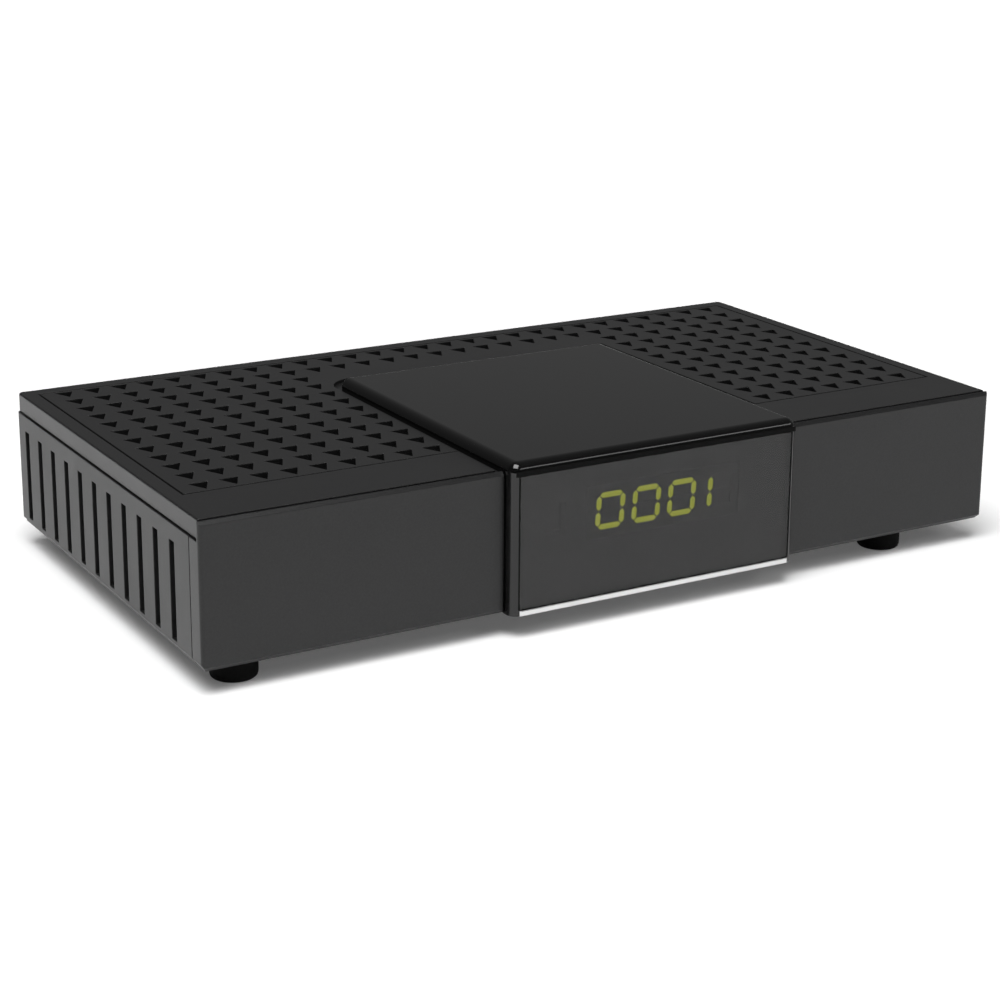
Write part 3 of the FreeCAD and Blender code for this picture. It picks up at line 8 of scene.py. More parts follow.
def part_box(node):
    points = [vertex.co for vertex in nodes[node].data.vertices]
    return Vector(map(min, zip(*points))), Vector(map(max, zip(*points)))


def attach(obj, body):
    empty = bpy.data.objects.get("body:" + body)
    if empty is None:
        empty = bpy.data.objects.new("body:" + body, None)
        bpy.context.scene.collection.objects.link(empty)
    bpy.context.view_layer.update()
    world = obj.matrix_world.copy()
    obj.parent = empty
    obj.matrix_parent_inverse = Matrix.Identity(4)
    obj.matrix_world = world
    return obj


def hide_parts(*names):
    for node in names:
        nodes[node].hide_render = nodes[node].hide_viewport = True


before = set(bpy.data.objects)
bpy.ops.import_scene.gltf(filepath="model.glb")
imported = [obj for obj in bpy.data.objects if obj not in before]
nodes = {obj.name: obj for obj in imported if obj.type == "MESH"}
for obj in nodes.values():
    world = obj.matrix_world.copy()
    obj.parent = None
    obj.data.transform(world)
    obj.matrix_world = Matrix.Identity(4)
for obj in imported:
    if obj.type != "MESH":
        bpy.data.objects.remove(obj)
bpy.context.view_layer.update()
mm = 0.001

# Lower tray: a trough of black plastic, moulded in one piece with its floor, side walls and air slots.
# Its outside has the fine spark-eroded grain of the mould, and its edges are painted a little paler, partly as
# rubbed wear and partly as a painted highlight.


def moulded_plastic(name, colour, roughness, grain, depth, speckle=0.5, edge_wear_and_highlight_lift=1.6, level=0.5):
    """Black plastic from a grained mould: pebbles, a cloudy sheen, pale specks, and paler edges that are partly
    rubbed wear and partly painted highlight.
    """
    material = bpy.data.materials.new(name)
    material.use_nodes = True
    tree = material.node_tree
    link = tree.links.new
    shader = tree.nodes["Principled BSDF"]
    shader.inputs["Specular IOR Level"].default_value = level
    place = tree.nodes.new("ShaderNodeTexCoord")
    pebbles = tree.nodes.new("ShaderNodeTexNoise")
    pebbles.inputs["Scale"].default_value = 1 / grain
    pebbles.inputs["Detail"].default_value = 3.0
    pebbles.inputs["Roughness"].default_value = 0.6
    cloud = tree.nodes.new("ShaderNodeTexNoise")
    cloud.inputs["Scale"].default_value = 45.0
    cloud.inputs["Detail"].default_value = 3.0
    link(place.outputs["Object"], pebbles.inputs["Vector"])
    link(place.outputs["Object"], cloud.inputs["Vector"])

    soft_edge = tree.nodes.new("ShaderNodeBevel")
    soft_edge.samples = 4
    soft_edge.inputs["Radius"].default_value = 0.3 * mm
    true_face = tree.nodes.new("ShaderNodeNewGeometry")
    turned = tree.nodes.new("ShaderNodeVectorMath")
    turned.operation = "DOT_PRODUCT"
    # Edge mask: the edges are painted paler, partly as wear and partly as a painted highlight.
    edge_wear_and_highlight_mask = tree.nodes.new("ShaderNodeMapRange")
    edge_wear_and_highlight_mask.inputs["From Min"].default_value = 0.995
    edge_wear_and_highlight_mask.inputs["From Max"].default_value = 0.80
    link(soft_edge.outputs["Normal"], turned.inputs[0])
    link(true_face.outputs["Normal"], turned.inputs[1])
    link(turned.outputs["Value"], edge_wear_and_highlight_mask.inputs["Value"])

    tone = tree.nodes.new("ShaderNodeMixRGB")
    tone.inputs["Color1"].default_value = (*[c * (1 - speckle) for c in colour], 1)
    tone.inputs["Color2"].default_value = (*[c * (1 + speckle) for c in colour], 1)
    link(pebbles.outputs["Fac"], tone.inputs["Fac"])
    # Mixes in the paler edge colour: part wear, part painted highlight on the rounded edges.
    edge_wear_and_highlight = tree.nodes.new("ShaderNodeMixRGB")
    edge_wear_and_highlight.inputs["Color2"].default_value = (*[c * edge_wear_and_highlight_lift + 0.004 for c in colour], 1)
    link(edge_wear_and_highlight_mask.outputs["Result"], edge_wear_and_highlight.inputs["Fac"])
    link(tone.outputs["Color"], edge_wear_and_highlight.inputs["Color1"])
    link(edge_wear_and_highlight.outputs["Color"], shader.inputs["Base Color"])

    sheen = tree.nodes.new("ShaderNodeMapRange")
    sheen.inputs["To Min"].default_value = roughness - 0.05
    sheen.inputs["To Max"].default_value = roughness + 0.07
    link(cloud.outputs["Fac"], sheen.inputs["Value"])
    link(sheen.outputs["Result"], shader.inputs["Roughness"])
    bump = tree.nodes.new("ShaderNodeBump")
    bump.inputs["Strength"].default_value = 0.6
    bump.inputs["Distance"].default_value = depth
    link(pebbles.outputs["Fac"], bump.inputs["Height"])
    link(soft_edge.outputs["Normal"], bump.inputs["Normal"])
    link(bump.outputs["Normal"], shader.inputs["Normal"])
    return material


def finish_nodes(material, *names):
    """Gives carried-over pieces a finish."""
    for name in names:
        mesh = nodes[name].data
        mesh.materials.clear()
        mesh.materials.append(material)


tray_plastic = moulded_plastic("tray_plastic", (0.009, 0.009, 0.0092), 0.40, 0.00040, 0.00003, level=0.43)
finish_nodes(tray_plastic, "base_shell")

# Feet: four soft rubber pads, moulded with a rounded tread edge and a shallow ring under each,
# and bonded to the tray's floor.


def turned_piece(name, profile, base, axis, material, body, steps=48, dent=None):
    """A piece turned round an axis from (radius, height) points in millimetres."""
    build = bmesh.new()
    turn = Vector((0, 0, 1)).rotation_difference(Vector(axis)).to_matrix()
    base = Vector(base)

    def spot(radius, height, angle):
        if dent:
            radius -= dent(radius, height, angle)
        local = Vector((radius * math.cos(angle), radius * math.sin(angle), height)) * mm
        return build.verts.new(base + turn @ local)

    angles = [math.tau * i / steps for i in range(steps)]
    rings = [[spot(r, h, 0)] if r == 0 else [spot(r, h, a) for a in angles] for r, h in profile]
    for low, high in zip(rings, rings[1:]):
        for i in range(steps):
            j = (i + 1) % steps
            corners = [low[i % len(low)], low[j % len(low)], high[j % len(high)], high[i % len(high)]]
            if len(low) == 1:
                corners.pop(0)
            if len(high) == 1:
                corners.pop()
            build.faces.new(corners)
    bmesh.ops.recalc_face_normals(build, faces=build.faces)
    mesh = bpy.data.meshes.new(name)
    build.to_mesh(mesh)
    build.free()
    mesh.polygons.foreach_set("use_smooth", [True] * len(mesh.polygons))
    mesh.set_sharp_from_angle(angle=math.radians(38))
    mesh.materials.append(material)
    piece = bpy.data.objects.new(name, mesh)
    bpy.context.scene.collection.objects.link(piece)
    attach(piece, body)
    return piece


foot_rubber = moulded_plastic("foot_rubber", (0.0025, 0.0025, 0.0025), 0.8, 0.0006, 0.00004, level=0.12)
for corner in ("front_left", "front_right", "rear_left", "rear_right"):
    low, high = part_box("foot_" + corner)
    tall = (high[2] - low[2]) / mm
    pad = turned_piece("foot_pad_" + corner, [
        (0, 0.5), (2.4, 0.5), (2.7, 0), (4.5, 0), (5.0, 0.12), (5.3, 0.4), (5.46, 0.9), (5.5, 1.5),
        (5.5, tall - 0.9), (5.3, tall - 0.6), (5.3, tall), (0, tall)],
        ((low[0] + high[0]) / 2, (low[1] + high[1]) / 2, low[2]), (0, 0, 1),
        foot_rubber, "housing")
    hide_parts("foot_" + corner)

# Main board: glass-fibre laminate with green solder mask over copper tracks, hooked under the
# tray's front clips and screwed down at the back. It is seen only through the vents.


def solder_mask(name):
    """Green mask with paler copper tracks running under it and tinned dots."""
    material = bpy.data.materials.new(name)
    material.use_nodes = True
    tree = material.node_tree
    link = tree.links.new
    shader = tree.nodes["Principled BSDF"]
    shader.inputs["Roughness"].default_value = 0.35
    place = tree.nodes.new("ShaderNodeTexCoord")
    tracks = tree.nodes.new("ShaderNodeTexBrick")
    tracks.inputs["Scale"].default_value = 160.0
    tracks.inputs["Mortar Size"].default_value = 0.06
    tracks.inputs["Color1"].default_value = (0.006, 0.045, 0.018, 1)
    tracks.inputs["Color2"].default_value = (0.008, 0.058, 0.022, 1)
    tracks.inputs["Mortar"].default_value = (0.012, 0.085, 0.034, 1)
    dots = tree.nodes.new("ShaderNodeTexVoronoi")
    dots.inputs["Scale"].default_value = 330.0
    tinned = tree.nodes.new("ShaderNodeMapRange")
    tinned.inputs["From Min"].default_value = 0.16
    tinned.inputs["From Max"].default_value = 0.13
    plated = tree.nodes.new("ShaderNodeMixRGB")
    plated.inputs["Color2"].default_value = (0.35, 0.35, 0.33, 1)
    link(place.outputs["Object"], tracks.inputs["Vector"])
    link(place.outputs["Object"], dots.inputs["Vector"])
    link(dots.outputs["Distance"], tinned.inputs["Value"])
    link(tinned.outputs["Result"], plated.inputs["Fac"])
    link(tracks.outputs["Color"], plated.inputs["Color1"])
    link(plated.outputs["Color"], shader.inputs["Base Color"])
    return material


board_mask = solder_mask("board_mask")
finish_nodes(board_mask, "main_board", "front_board")

# Chips, chokes and regulators: black epoxy blocks moulded round their silicon or ferrite, with a
# faintly pitted face.
epoxy_black = moulded_plastic("epoxy_black", (0.014, 0.014, 0.014), 0.55, 0.0002, 0.00001)
finish_nodes(epoxy_black, "processor", "memory_chips", "power_chokes", "regulators")

# Heat sink, crystal case and tuner can: bare sheet or extruded metal with drawn streaks along it.


def bare_metal(name, colour, roughness, along=(60, 900, 900)):
    """Plated or bare metal with faint drawn streaks and cloudy tarnish."""
    material = bpy.data.materials.new(name)
    material.use_nodes = True
    tree = material.node_tree
    link = tree.links.new
    shader = tree.nodes["Principled BSDF"]
    shader.inputs["Metallic"].default_value = 1.0
    place = tree.nodes.new("ShaderNodeTexCoord")
    stretch = tree.nodes.new("ShaderNodeMapping")
    stretch.inputs["Scale"].default_value = along
    streaks = tree.nodes.new("ShaderNodeTexNoise")
    streaks.inputs["Scale"].default_value = 1.0
    tarnish = tree.nodes.new("ShaderNodeTexNoise")
    tarnish.inputs["Scale"].default_value = 120.0
    tone = tree.nodes.new("ShaderNodeMixRGB")
    tone.inputs["Color1"].default_value = (*[c * 0.82 for c in colour], 1)
    tone.inputs["Color2"].default_value = (*[min(1, c * 1.08) for c in colour], 1)
    gloss = tree.nodes.new("ShaderNodeMapRange")
    gloss.inputs["To Min"].default_value = roughness * 0.6
    gloss.inputs["To Max"].default_value = roughness * 1.4
    link(place.outputs["Object"], stretch.inputs["Vector"])
    link(place.outputs["Object"], tarnish.inputs["Vector"])
    link(stretch.outputs["Vector"], streaks.inputs["Vector"])
    link(streaks.outputs["Fac"], gloss.inputs["Value"])
    link(gloss.outputs["Result"], shader.inputs["Roughness"])
    link(tarnish.outputs["Fac"], tone.inputs["Fac"])
    link(tone.outputs["Color"], shader.inputs["Base Color"])
    return material


sink_aluminium = bare_metal("sink_aluminium", (0.72, 0.73, 0.74), 0.35, (900, 60, 900))
finish_nodes(sink_aluminium, "heat_sink")
tin_plate = bare_metal("tin_plate", (0.58, 0.57, 0.54), 0.28)
finish_nodes(tin_plate, "tuner_can", "crystal")

# Capacitors: drawn aluminium cans in a dark printed sleeve, crimped near the board, with a bare
# top. The sleeve's print and the scored vent cross on the top are not drawn.
can_sleeve = moulded_plastic("can_sleeve", (0.02, 0.022, 0.03), 0.35, 0.0008, 0.00001)
can_top = bare_metal("can_top", (0.75, 0.75, 0.76), 0.3)


def sleeved_can(name, low, high):
    """One can with its crimp, its sleeve's rolled edge and its bare top."""
    radius = (high[0] - low[0]) / mm / 2
    tall = (high[2] - low[2]) / mm
    can = turned_piece(name, [
        (0, 0), (radius - 0.4, 0), (radius, 0.5), (radius, 1.4), (radius - 0.35, 1.9), (radius, 2.4),
        (radius, tall - 0.5), (radius - 0.15, tall - 0.15), (radius - 0.5, tall), (radius - 0.9, tall),
        (radius - 1.0, tall - 0.2), (0, tall - 0.2)],
        ((low[0] + high[0]) / 2, (low[1] + high[1]) / 2, low[2]), (0, 0, 1),
        can_sleeve, "housing")
    can.data.materials.append(can_top)
    for face in can.data.polygons:
        middle = face.center
        if middle.z > high[2] - 0.3 * mm and math.hypot(
                middle.x - (low[0] + high[0]) / 2, middle.y - (low[1] + high[1]) / 2) < (radius - 0.9) * mm:
            face.material_index = 1
    return can


def separate_solids(name):
    """The boxes of the separate solids in one node."""
    mesh = nodes[name].data
    group = list(range(len(mesh.vertices)))

    def root(i):
        while group[i] != i:
            group[i] = group[group[i]]
            i = group[i]
        return i

    at = {}
    for v in mesh.vertices:
        key = tuple(round(c, 6) for c in v.co)
        group[root(v.index)] = root(at.setdefault(key, v.index))
    for edge in mesh.edges:
        group[root(edge.vertices[0])] = root(edge.vertices[1])
    solids = {}
    for v in mesh.vertices:
        solids.setdefault(root(v.index), []).append(v.co)
    return sorted((tuple(min(p[k] for p in part) for k in range(3)),
                   tuple(max(p[k] for p in part) for k in range(3))) for part in solids.values())


cans = [sleeved_can(f"sleeved_can_{i}", low, high)
        for i, (low, high) in enumerate(separate_solids("capacitors"))]
for can in cans:
    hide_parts("capacitors")

# Flat cable and its plugs: grey ribbon of side-by-side wires between two white nylon housings.
ribbon = bpy.data.materials.new("ribbon")
ribbon.use_nodes = True
tree = ribbon.node_tree
place = tree.nodes.new("ShaderNodeTexCoord")
wires = tree.nodes.new("ShaderNodeTexWave")
wires.inputs["Scale"].default_value = 250.0
wires.inputs["Distortion"].default_value = 0.0
wire_tone = tree.nodes.new("ShaderNodeMixRGB")
wire_tone.inputs["Color1"].default_value = (0.10, 0.10, 0.10, 1)
wire_tone.inputs["Color2"].default_value = (0.30, 0.30, 0.30, 1)
tree.links.new(place.outputs["Object"], wires.inputs["Vector"])
tree.links.new(wires.outputs["Fac"], wire_tone.inputs["Fac"])
tree.links.new(wire_tone.outputs["Color"], tree.nodes["Principled BSDF"].inputs["Base Color"])
tree.nodes["Principled BSDF"].inputs["Roughness"].default_value = 0.5
finish_nodes(ribbon, "flat_cable")
white_nylon = moulded_plastic("white_nylon", (0.55, 0.54, 0.50), 0.45, 0.0006, 0.00001, 0.06, 1.05)
finish_nodes(white_nylon, "cable_plugs", "coax_dielectric", "key_plunger")

# Digit module: a dark cast block on the front board with four slanted seven-segment figures. The
# lit segments are yellow-green light wells, their glow mottled between two yellow-greens.
module_face = moulded_plastic("module_face", (0.006, 0.006, 0.006), 0.55, 0.0005, 0.00001)
finish_nodes(module_face, "led_module")
unlit_well = moulded_plastic("unlit_well", (0.010, 0.010, 0.008), 0.45, 0.0004, 0.00001)
finish_nodes(unlit_well, "dark_segments")
lit_glow = bpy.data.materials.new("lit_glow")
lit_glow.use_nodes = True
tree = lit_glow.node_tree
glow = tree.nodes["Principled BSDF"]
glow.inputs["Base Color"].default_value = (0.20, 0.22, 0.02, 1)
glow.inputs["Roughness"].default_value = 0.5
place = tree.nodes.new("ShaderNodeTexCoord")
diode = tree.nodes.new("ShaderNodeTexNoise")
diode.inputs["Scale"].default_value = 420.0
diode.inputs["Detail"].default_value = 1.0
hue = tree.nodes.new("ShaderNodeMixRGB")
hue.inputs["Color1"].default_value = (0.74, 0.86, 0.01, 1)
hue.inputs["Color2"].default_value = (0.96, 1.0, 0.03, 1)
tree.links.new(place.outputs["Object"], diode.inputs["Vector"])
tree.links.new(diode.outputs["Fac"], hue.inputs["Fac"])
tree.links.new(hue.outputs["Color"], glow.inputs["Emission Color"])
glow.inputs["Emission Strength"].default_value = 1.5
finish_nodes(lit_glow, "lit_segments")

# Infrared receiver: a small epoxy block with a round lens, dyed so dark that only infrared passes.
infrared_epoxy = moulded_plastic("infrared_epoxy", (0.006, 0.004, 0.006), 0.15, 0.0008, 0.000005)
finish_nodes(infrared_epoxy, "infrared_receiver")

# Standby key: a round cap in the right side wall, dished for a fingertip, on a white plunger. The
# key switch behind it is a small black block on the front board.
key_low, key_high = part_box("standby_key")
key_plastic = moulded_plastic("key_plastic", (0.014, 0.014, 0.014), 0.32, 0.0003, 0.00001)
key_deep = (key_high[0] - key_low[0]) / mm
key_cap = turned_piece("key_cap", [
    (0, 0), (3.3, 0), (3.3, 0.8), (2.5, 0.8), (2.5, key_deep - 0.35), (2.4, key_deep - 0.1),
    (2.15, key_deep), (1.9, key_deep - 0.06), (1.2, key_deep - 0.28), (0.6, key_deep - 0.38),
    (0, key_deep - 0.4)],
    (key_low[0], (key_low[1] + key_high[1]) / 2, (key_low[2] + key_high[2]) / 2), (1, 0, 0),
    key_plastic, "key")
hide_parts("standby_key")
finish_nodes(epoxy_black, "key_switch")

# Rear plate: pressed steel with a baked black powder coat, cut out round each socket.
powder_coat = moulded_plastic("powder_coat", (0.013, 0.013, 0.013), 0.5, 0.0007, 0.00005)
finish_nodes(powder_coat, "rear_panel")

# Aerial connector: a nickel-plated brass barrel with a fine rolled thread of 0.79 mm pitch, held to
# the plate by a hexagon nut with chamfered corners.
nickel = bare_metal("nickel", (0.66, 0.64, 0.58), 0.18, (900, 60, 900))
barrel_low, barrel_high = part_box("coax_connector")
nut_low, nut_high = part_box("coax_nut")
barrel_x = (barrel_low[0] + barrel_high[0]) / 2
barrel_z = (barrel_low[2] + barrel_high[2]) / 2
barrel_long = (barrel_high[1] - barrel_low[1]) / mm
thread_start = (nut_high[1] - barrel_low[1]) / mm
THREAD_PITCH = 0.79
THREAD_DEEP = 0.42


def thread_dent(radius, height, angle):
    """How far the rolled thread dips below its crest at a place on the barrel."""
    if radius < 4.5 or height < thread_start or height > barrel_long - 0.3:
        return 0
    phase = (height / THREAD_PITCH - angle / math.tau) % 1
    return THREAD_DEEP * abs(phase * 2 - 1)


thread_steps = 96
thread_rings = [(4.7, thread_start + (barrel_long - 0.3 - thread_start) * i / thread_steps)
                for i in range(thread_steps + 1)]
barrel = turned_piece("threaded_barrel", [
    (3.2, 2), (4.3, 0), (4.3, thread_start), *thread_rings, (4.4, barrel_long - 0.3), (4.3, barrel_long),
    (3.4, barrel_long), (3.2, barrel_long - 0.2), (3.2, 2)],
    (barrel_x, barrel_low[1], barrel_z), (0, 1, 0), nickel, "housing", 48, thread_dent)
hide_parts("coax_connector")

nut_tall = (nut_high[1] - nut_low[1]) / mm
across_corners = 7.2
across_flats = across_corners * math.cos(math.pi / 6)


def hexagon_dent(radius, height, angle):
    """Trims a round of the nut's corner radius to its six flats."""
    if radius < across_flats:
        return 0
    flat = across_flats / math.cos((angle + math.pi / 6) % (math.pi / 3) - math.pi / 6)
    return max(0, radius - flat)


nut = turned_piece("hexagon_nut", [
    (4.75, 0), (across_corners, 0), (across_corners, nut_tall - 0.55), (6.75, nut_tall - 0.28),
    (6.2, nut_tall - 0.02), (6.0, nut_tall), (5.1, nut_tall), (4.75, nut_tall - 0.3), (4.75, 0)],
    (barrel_x, nut_low[1], barrel_z), (0, 1, 0), nickel, "housing", 72, hexagon_dent)
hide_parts("coax_nut")

# Data and digital video sockets: folded tin-plated shells round black tongues, which carry rows of
# gold-flashed contact strips.
socket_black = moulded_plastic("socket_black", (0.012, 0.012, 0.012), 0.42, 0.0004, 0.00001)
finish_nodes(tin_plate, "usb_shell", "hdmi_shell")
finish_nodes(socket_black, "usb_tongue", "hdmi_tongue")
gold_flash = bare_metal("gold_flash", (0.83, 0.60, 0.25), 0.22, (900, 60, 900))


def contact_row(name, middle, level, count, pitch, wide, tall, front, back, material):
    """A row of thin strips side by side along X, each with a bent-down tip."""
    build = bmesh.new()
    for i in range(count):
        x = middle + (i - (count - 1) / 2) * pitch * mm
        left_side, right_side = x - wide * mm / 2, x + wide * mm / 2
        outline = [(front, level), (front, level + tall * mm), (back - 0.5 * mm, level + tall * mm),
                   (back, level + tall * mm * 0.3), (back, level)]
        sides = [[build.verts.new((side, y, z)) for y, z in outline] for side in (left_side, right_side)]
        build.faces.new(sides[0])
        build.faces.new(reversed(sides[1]))
        for k in range(len(outline)):
            n = (k + 1) % len(outline)
            build.faces.new((sides[0][k], sides[1][k], sides[1][n], sides[0][n]))
    bmesh.ops.recalc_face_normals(build, faces=build.faces)
    mesh = bpy.data.meshes.new(name)
    build.to_mesh(mesh)
    build.free()
    mesh.materials.append(material)
    row = bpy.data.objects.new(name, mesh)
    bpy.context.scene.collection.objects.link(row)
    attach(row, "housing")
    return row


usb_low, usb_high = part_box("usb_tongue")
contact_row("data_contacts", (usb_low[0] + usb_high[0]) / 2, usb_low[2] - 0.12 * mm, 4, 2.3, 1.0, 0.14,
            usb_high[1] - 7 * mm, usb_high[1] - 0.6 * mm, gold_flash)
hdmi_low, hdmi_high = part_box("hdmi_tongue")
contact_row("video_contacts_upper", (hdmi_low[0] + hdmi_high[0]) / 2, hdmi_high[2] - 0.02 * mm, 10, 1.0, 0.4,
            0.12, hdmi_high[1] - 6 * mm, hdmi_high[1] - 0.4 * mm, gold_flash)
contact_row("video_contacts_lower", (hdmi_low[0] + hdmi_high[0]) / 2, hdmi_low[2] - 0.10 * mm, 9, 1.0, 0.4,
            0.12, hdmi_high[1] - 6 * mm, hdmi_high[1] - 0.4 * mm, gold_flash)

# Twenty-one-way socket, audio jack and supply inlet: black moulded blocks with plated contacts.
finish_nodes(socket_black, "scart_socket", "audio_jack_block", "supply_inlet")
blade_metal = bare_metal("blade_metal", (0.70, 0.66, 0.52), 0.25, (900, 60, 900))
finish_nodes(blade_metal, "scart_contacts", "switch_terminals")
finish_nodes(nickel, "audio_jack_sleeve", "supply_pin")
jack_core = moulded_plastic("jack_core", (0.02, 0.02, 0.02), 0.35, 0.0004, 0.00001)
finish_nodes(jack_core, "audio_jack_core")

# Rocker switch: a black case snapped into the plate, with a paddle on two pins. The on and off
# marks are pale ink printed on the paddle's two faces.
finish_nodes(socket_black, "power_switch")
paddle_plastic = moulded_plastic("paddle_plastic", (0.014, 0.014, 0.014), 0.28, 0.0003, 0.00001)
finish_nodes(paddle_plastic, "power_rocker")
pale_ink = moulded_plastic("pale_ink", (0.62, 0.62, 0.60), 0.5, 0.0004, 0.00001, 0.05, 1.0)


def paddle_face(upper):
    """Centre and outward normal of the paddle's upper or lower face."""
    mesh = nodes["power_rocker"].data
    middle_z = sum(v.co.z for v in mesh.vertices) / len(mesh.vertices)
    best = None
    for face in mesh.polygons:
        if face.normal.y > 0.7 and abs(face.normal.x) < 0.01 and (face.center.z > middle_z) == upper:
            if best is None or face.area > best[0]:
                best = (face.area, face.normal.copy())
    same = [f for f in mesh.polygons if f.normal.dot(best[1]) > 0.999]
    spots = [mesh.vertices[i].co for f in same for i in f.vertices]
    low = Vector([min(p[k] for p in spots) for k in range(3)])
    high = Vector([max(p[k] for p in spots) for k in range(3)])
    return (low + high) / 2, best[1]


def printed_mark(name, upper, outer, inner, bar):
    """A printed ring or bar lying on the paddle, a hundredth of a millimetre proud."""
    centre, normal = paddle_face(upper)
    right = Vector((1, 0, 0))
    up = normal.cross(right)
    centre = centre + normal * 0.015 * mm
    build = bmesh.new()
    if bar:
        flat = [centre + right * x * mm + up * z * mm
                for x, z in ((-0.22, -outer), (0.22, -outer), (0.22, outer), (-0.22, outer))]
        build.faces.new([build.verts.new(p) for p in flat])
    else:
        turns = [math.tau * i / 40 for i in range(40)]
        rings = [[build.verts.new(centre + (right * math.cos(a) + up * math.sin(a)) * r * mm) for a in turns]
                 for r in (inner, outer)]
        for i in range(40):
            j = (i + 1) % 40
            build.faces.new((rings[0][i], rings[1][i], rings[1][j], rings[0][j]))
    bmesh.ops.recalc_face_normals(build, faces=build.faces)
    mesh = bpy.data.meshes.new(name)
    build.to_mesh(mesh)
    build.free()
    mesh.materials.append(pale_ink)
    mark = bpy.data.objects.new(name, mesh)
    bpy.context.scene.collection.objects.link(mark)
    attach(mark, "rocker")
    return mark


printed_mark("rocker_on_bar", True, 1.1, 0, True)
printed_mark("rocker_off_ring", False, 1.15, 0.75, False)

# Upper cover: a moulded lid with a short skirt. Its top is a grille of triangular holes inside a
# fine scribed groove, and it has a recess with round rear corners for the saddle.
cover_plastic = moulded_plastic("cover_plastic", (0.008, 0.008, 0.0082), 0.36, 0.00040, 0.00002)
finish_nodes(cover_plastic, "top_cover")

# Front bezel: a separate moulding across the whole front, with a bevelled upper edge.
bezel_plastic = moulded_plastic("bezel_plastic", (0.007, 0.007, 0.0072), 0.36, 0.00045, 0.00003, 0.8, level=0.42)
finish_nodes(bezel_plastic, "front_bezel")

# Screws: zinc-plated steel with round heads and a cross recess. Two hold the cover from below, deep
# in counterbores, and two hold the main board.
zinc_steel = bare_metal("zinc_steel", (0.50, 0.50, 0.52), 0.3)


def cross_screw(name, low, high, upward):
    """A round-headed screw with a cross pressed into the head and a threaded shank."""
    head_radius = (high[0] - low[0]) / mm / 2
    long = (high[2] - low[2]) / mm
    deep = 1.1
    thread = [(1.44 if i % 2 else 1.15, 2.0 + 0.45 * (i + 1)) for i in range(int((long - 3.2) / 0.45))]
    base = (low[2] if upward else high[2])
    body = turned_piece(name, [
        (0, 0.12), (1.7, 0.12), (2.2, 0.3), (2.6, 0.75), (head_radius, 1.3), (head_radius, 2.0),
        (1.2, 2.0), *thread, (1.0, long - 0.8), (0, long)],
        ((low[0] + high[0]) / 2, (low[1] + high[1]) / 2, base), (0, 0, 1 if upward else -1),
        zinc_steel, "housing")
    mesh = body.data
    build = bmesh.new()
    build.from_mesh(mesh)
    face_level = base + (0.12 * mm if upward else -0.12 * mm)
    pits = [f for f in build.faces if all(abs(v.co.z - face_level) < 1e-7 for v in f.verts)]
    bmesh.ops.delete(build, geom=pits, context="FACES")
    centre = Vector(((low[0] + high[0]) / 2, (low[1] + high[1]) / 2, face_level))
    inward = 1 if upward else -1
    arm, half = 1.35, 0.32
    plan = [(half, arm), (half, half), (arm, half), (arm, -half), (half, -half), (half, -arm),
            (-half, -arm), (-half, -half), (-arm, -half), (-arm, half), (-half, half), (-half, arm)]
    rim = [build.verts.new(centre + Vector((x, y, 0)) * mm) for x, y in plan]
    floor_ring = [build.verts.new(centre + Vector((x * 0.55, y * 0.55, inward * deep)) * mm) for x, y in plan]
    rim_edges = [build.edges.new((rim[i], rim[(i + 1) % 12])) for i in range(12)]
    for i in range(12):
        j = (i + 1) % 12
        build.faces.new((rim[i], rim[j], floor_ring[j], floor_ring[i]))
    build.faces.new(floor_ring)
    loose = [v for v in build.verts if not v.link_faces and not v.link_edges]
    bmesh.ops.delete(build, geom=loose, context="VERTS")
    outer_edges = [e for e in build.edges if e.is_boundary and e not in rim_edges
                   and all(abs(v.co.z - face_level) < 1e-7 for v in e.verts)]
    bmesh.ops.triangle_fill(build, use_beauty=True, use_dissolve=False, edges=outer_edges + rim_edges)
    bmesh.ops.recalc_face_normals(build, faces=build.faces)
    build.to_mesh(mesh)
    build.free()
    return body


case_pair = [cross_screw(f"case_screw_{i}", low, high, True)
             for i, (low, high) in enumerate(separate_solids("case_screws"))]
for screw in case_pair:
    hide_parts("case_screws")
board_pair = [cross_screw(f"board_screw_{i}", low, high, False)
              for i, (low, high) in enumerate(separate_solids("board_screws"))]
for screw in board_pair:
    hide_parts("board_screws")

# Saddle: polished black plastic that wraps over the front and the top, the one glossy moulding.


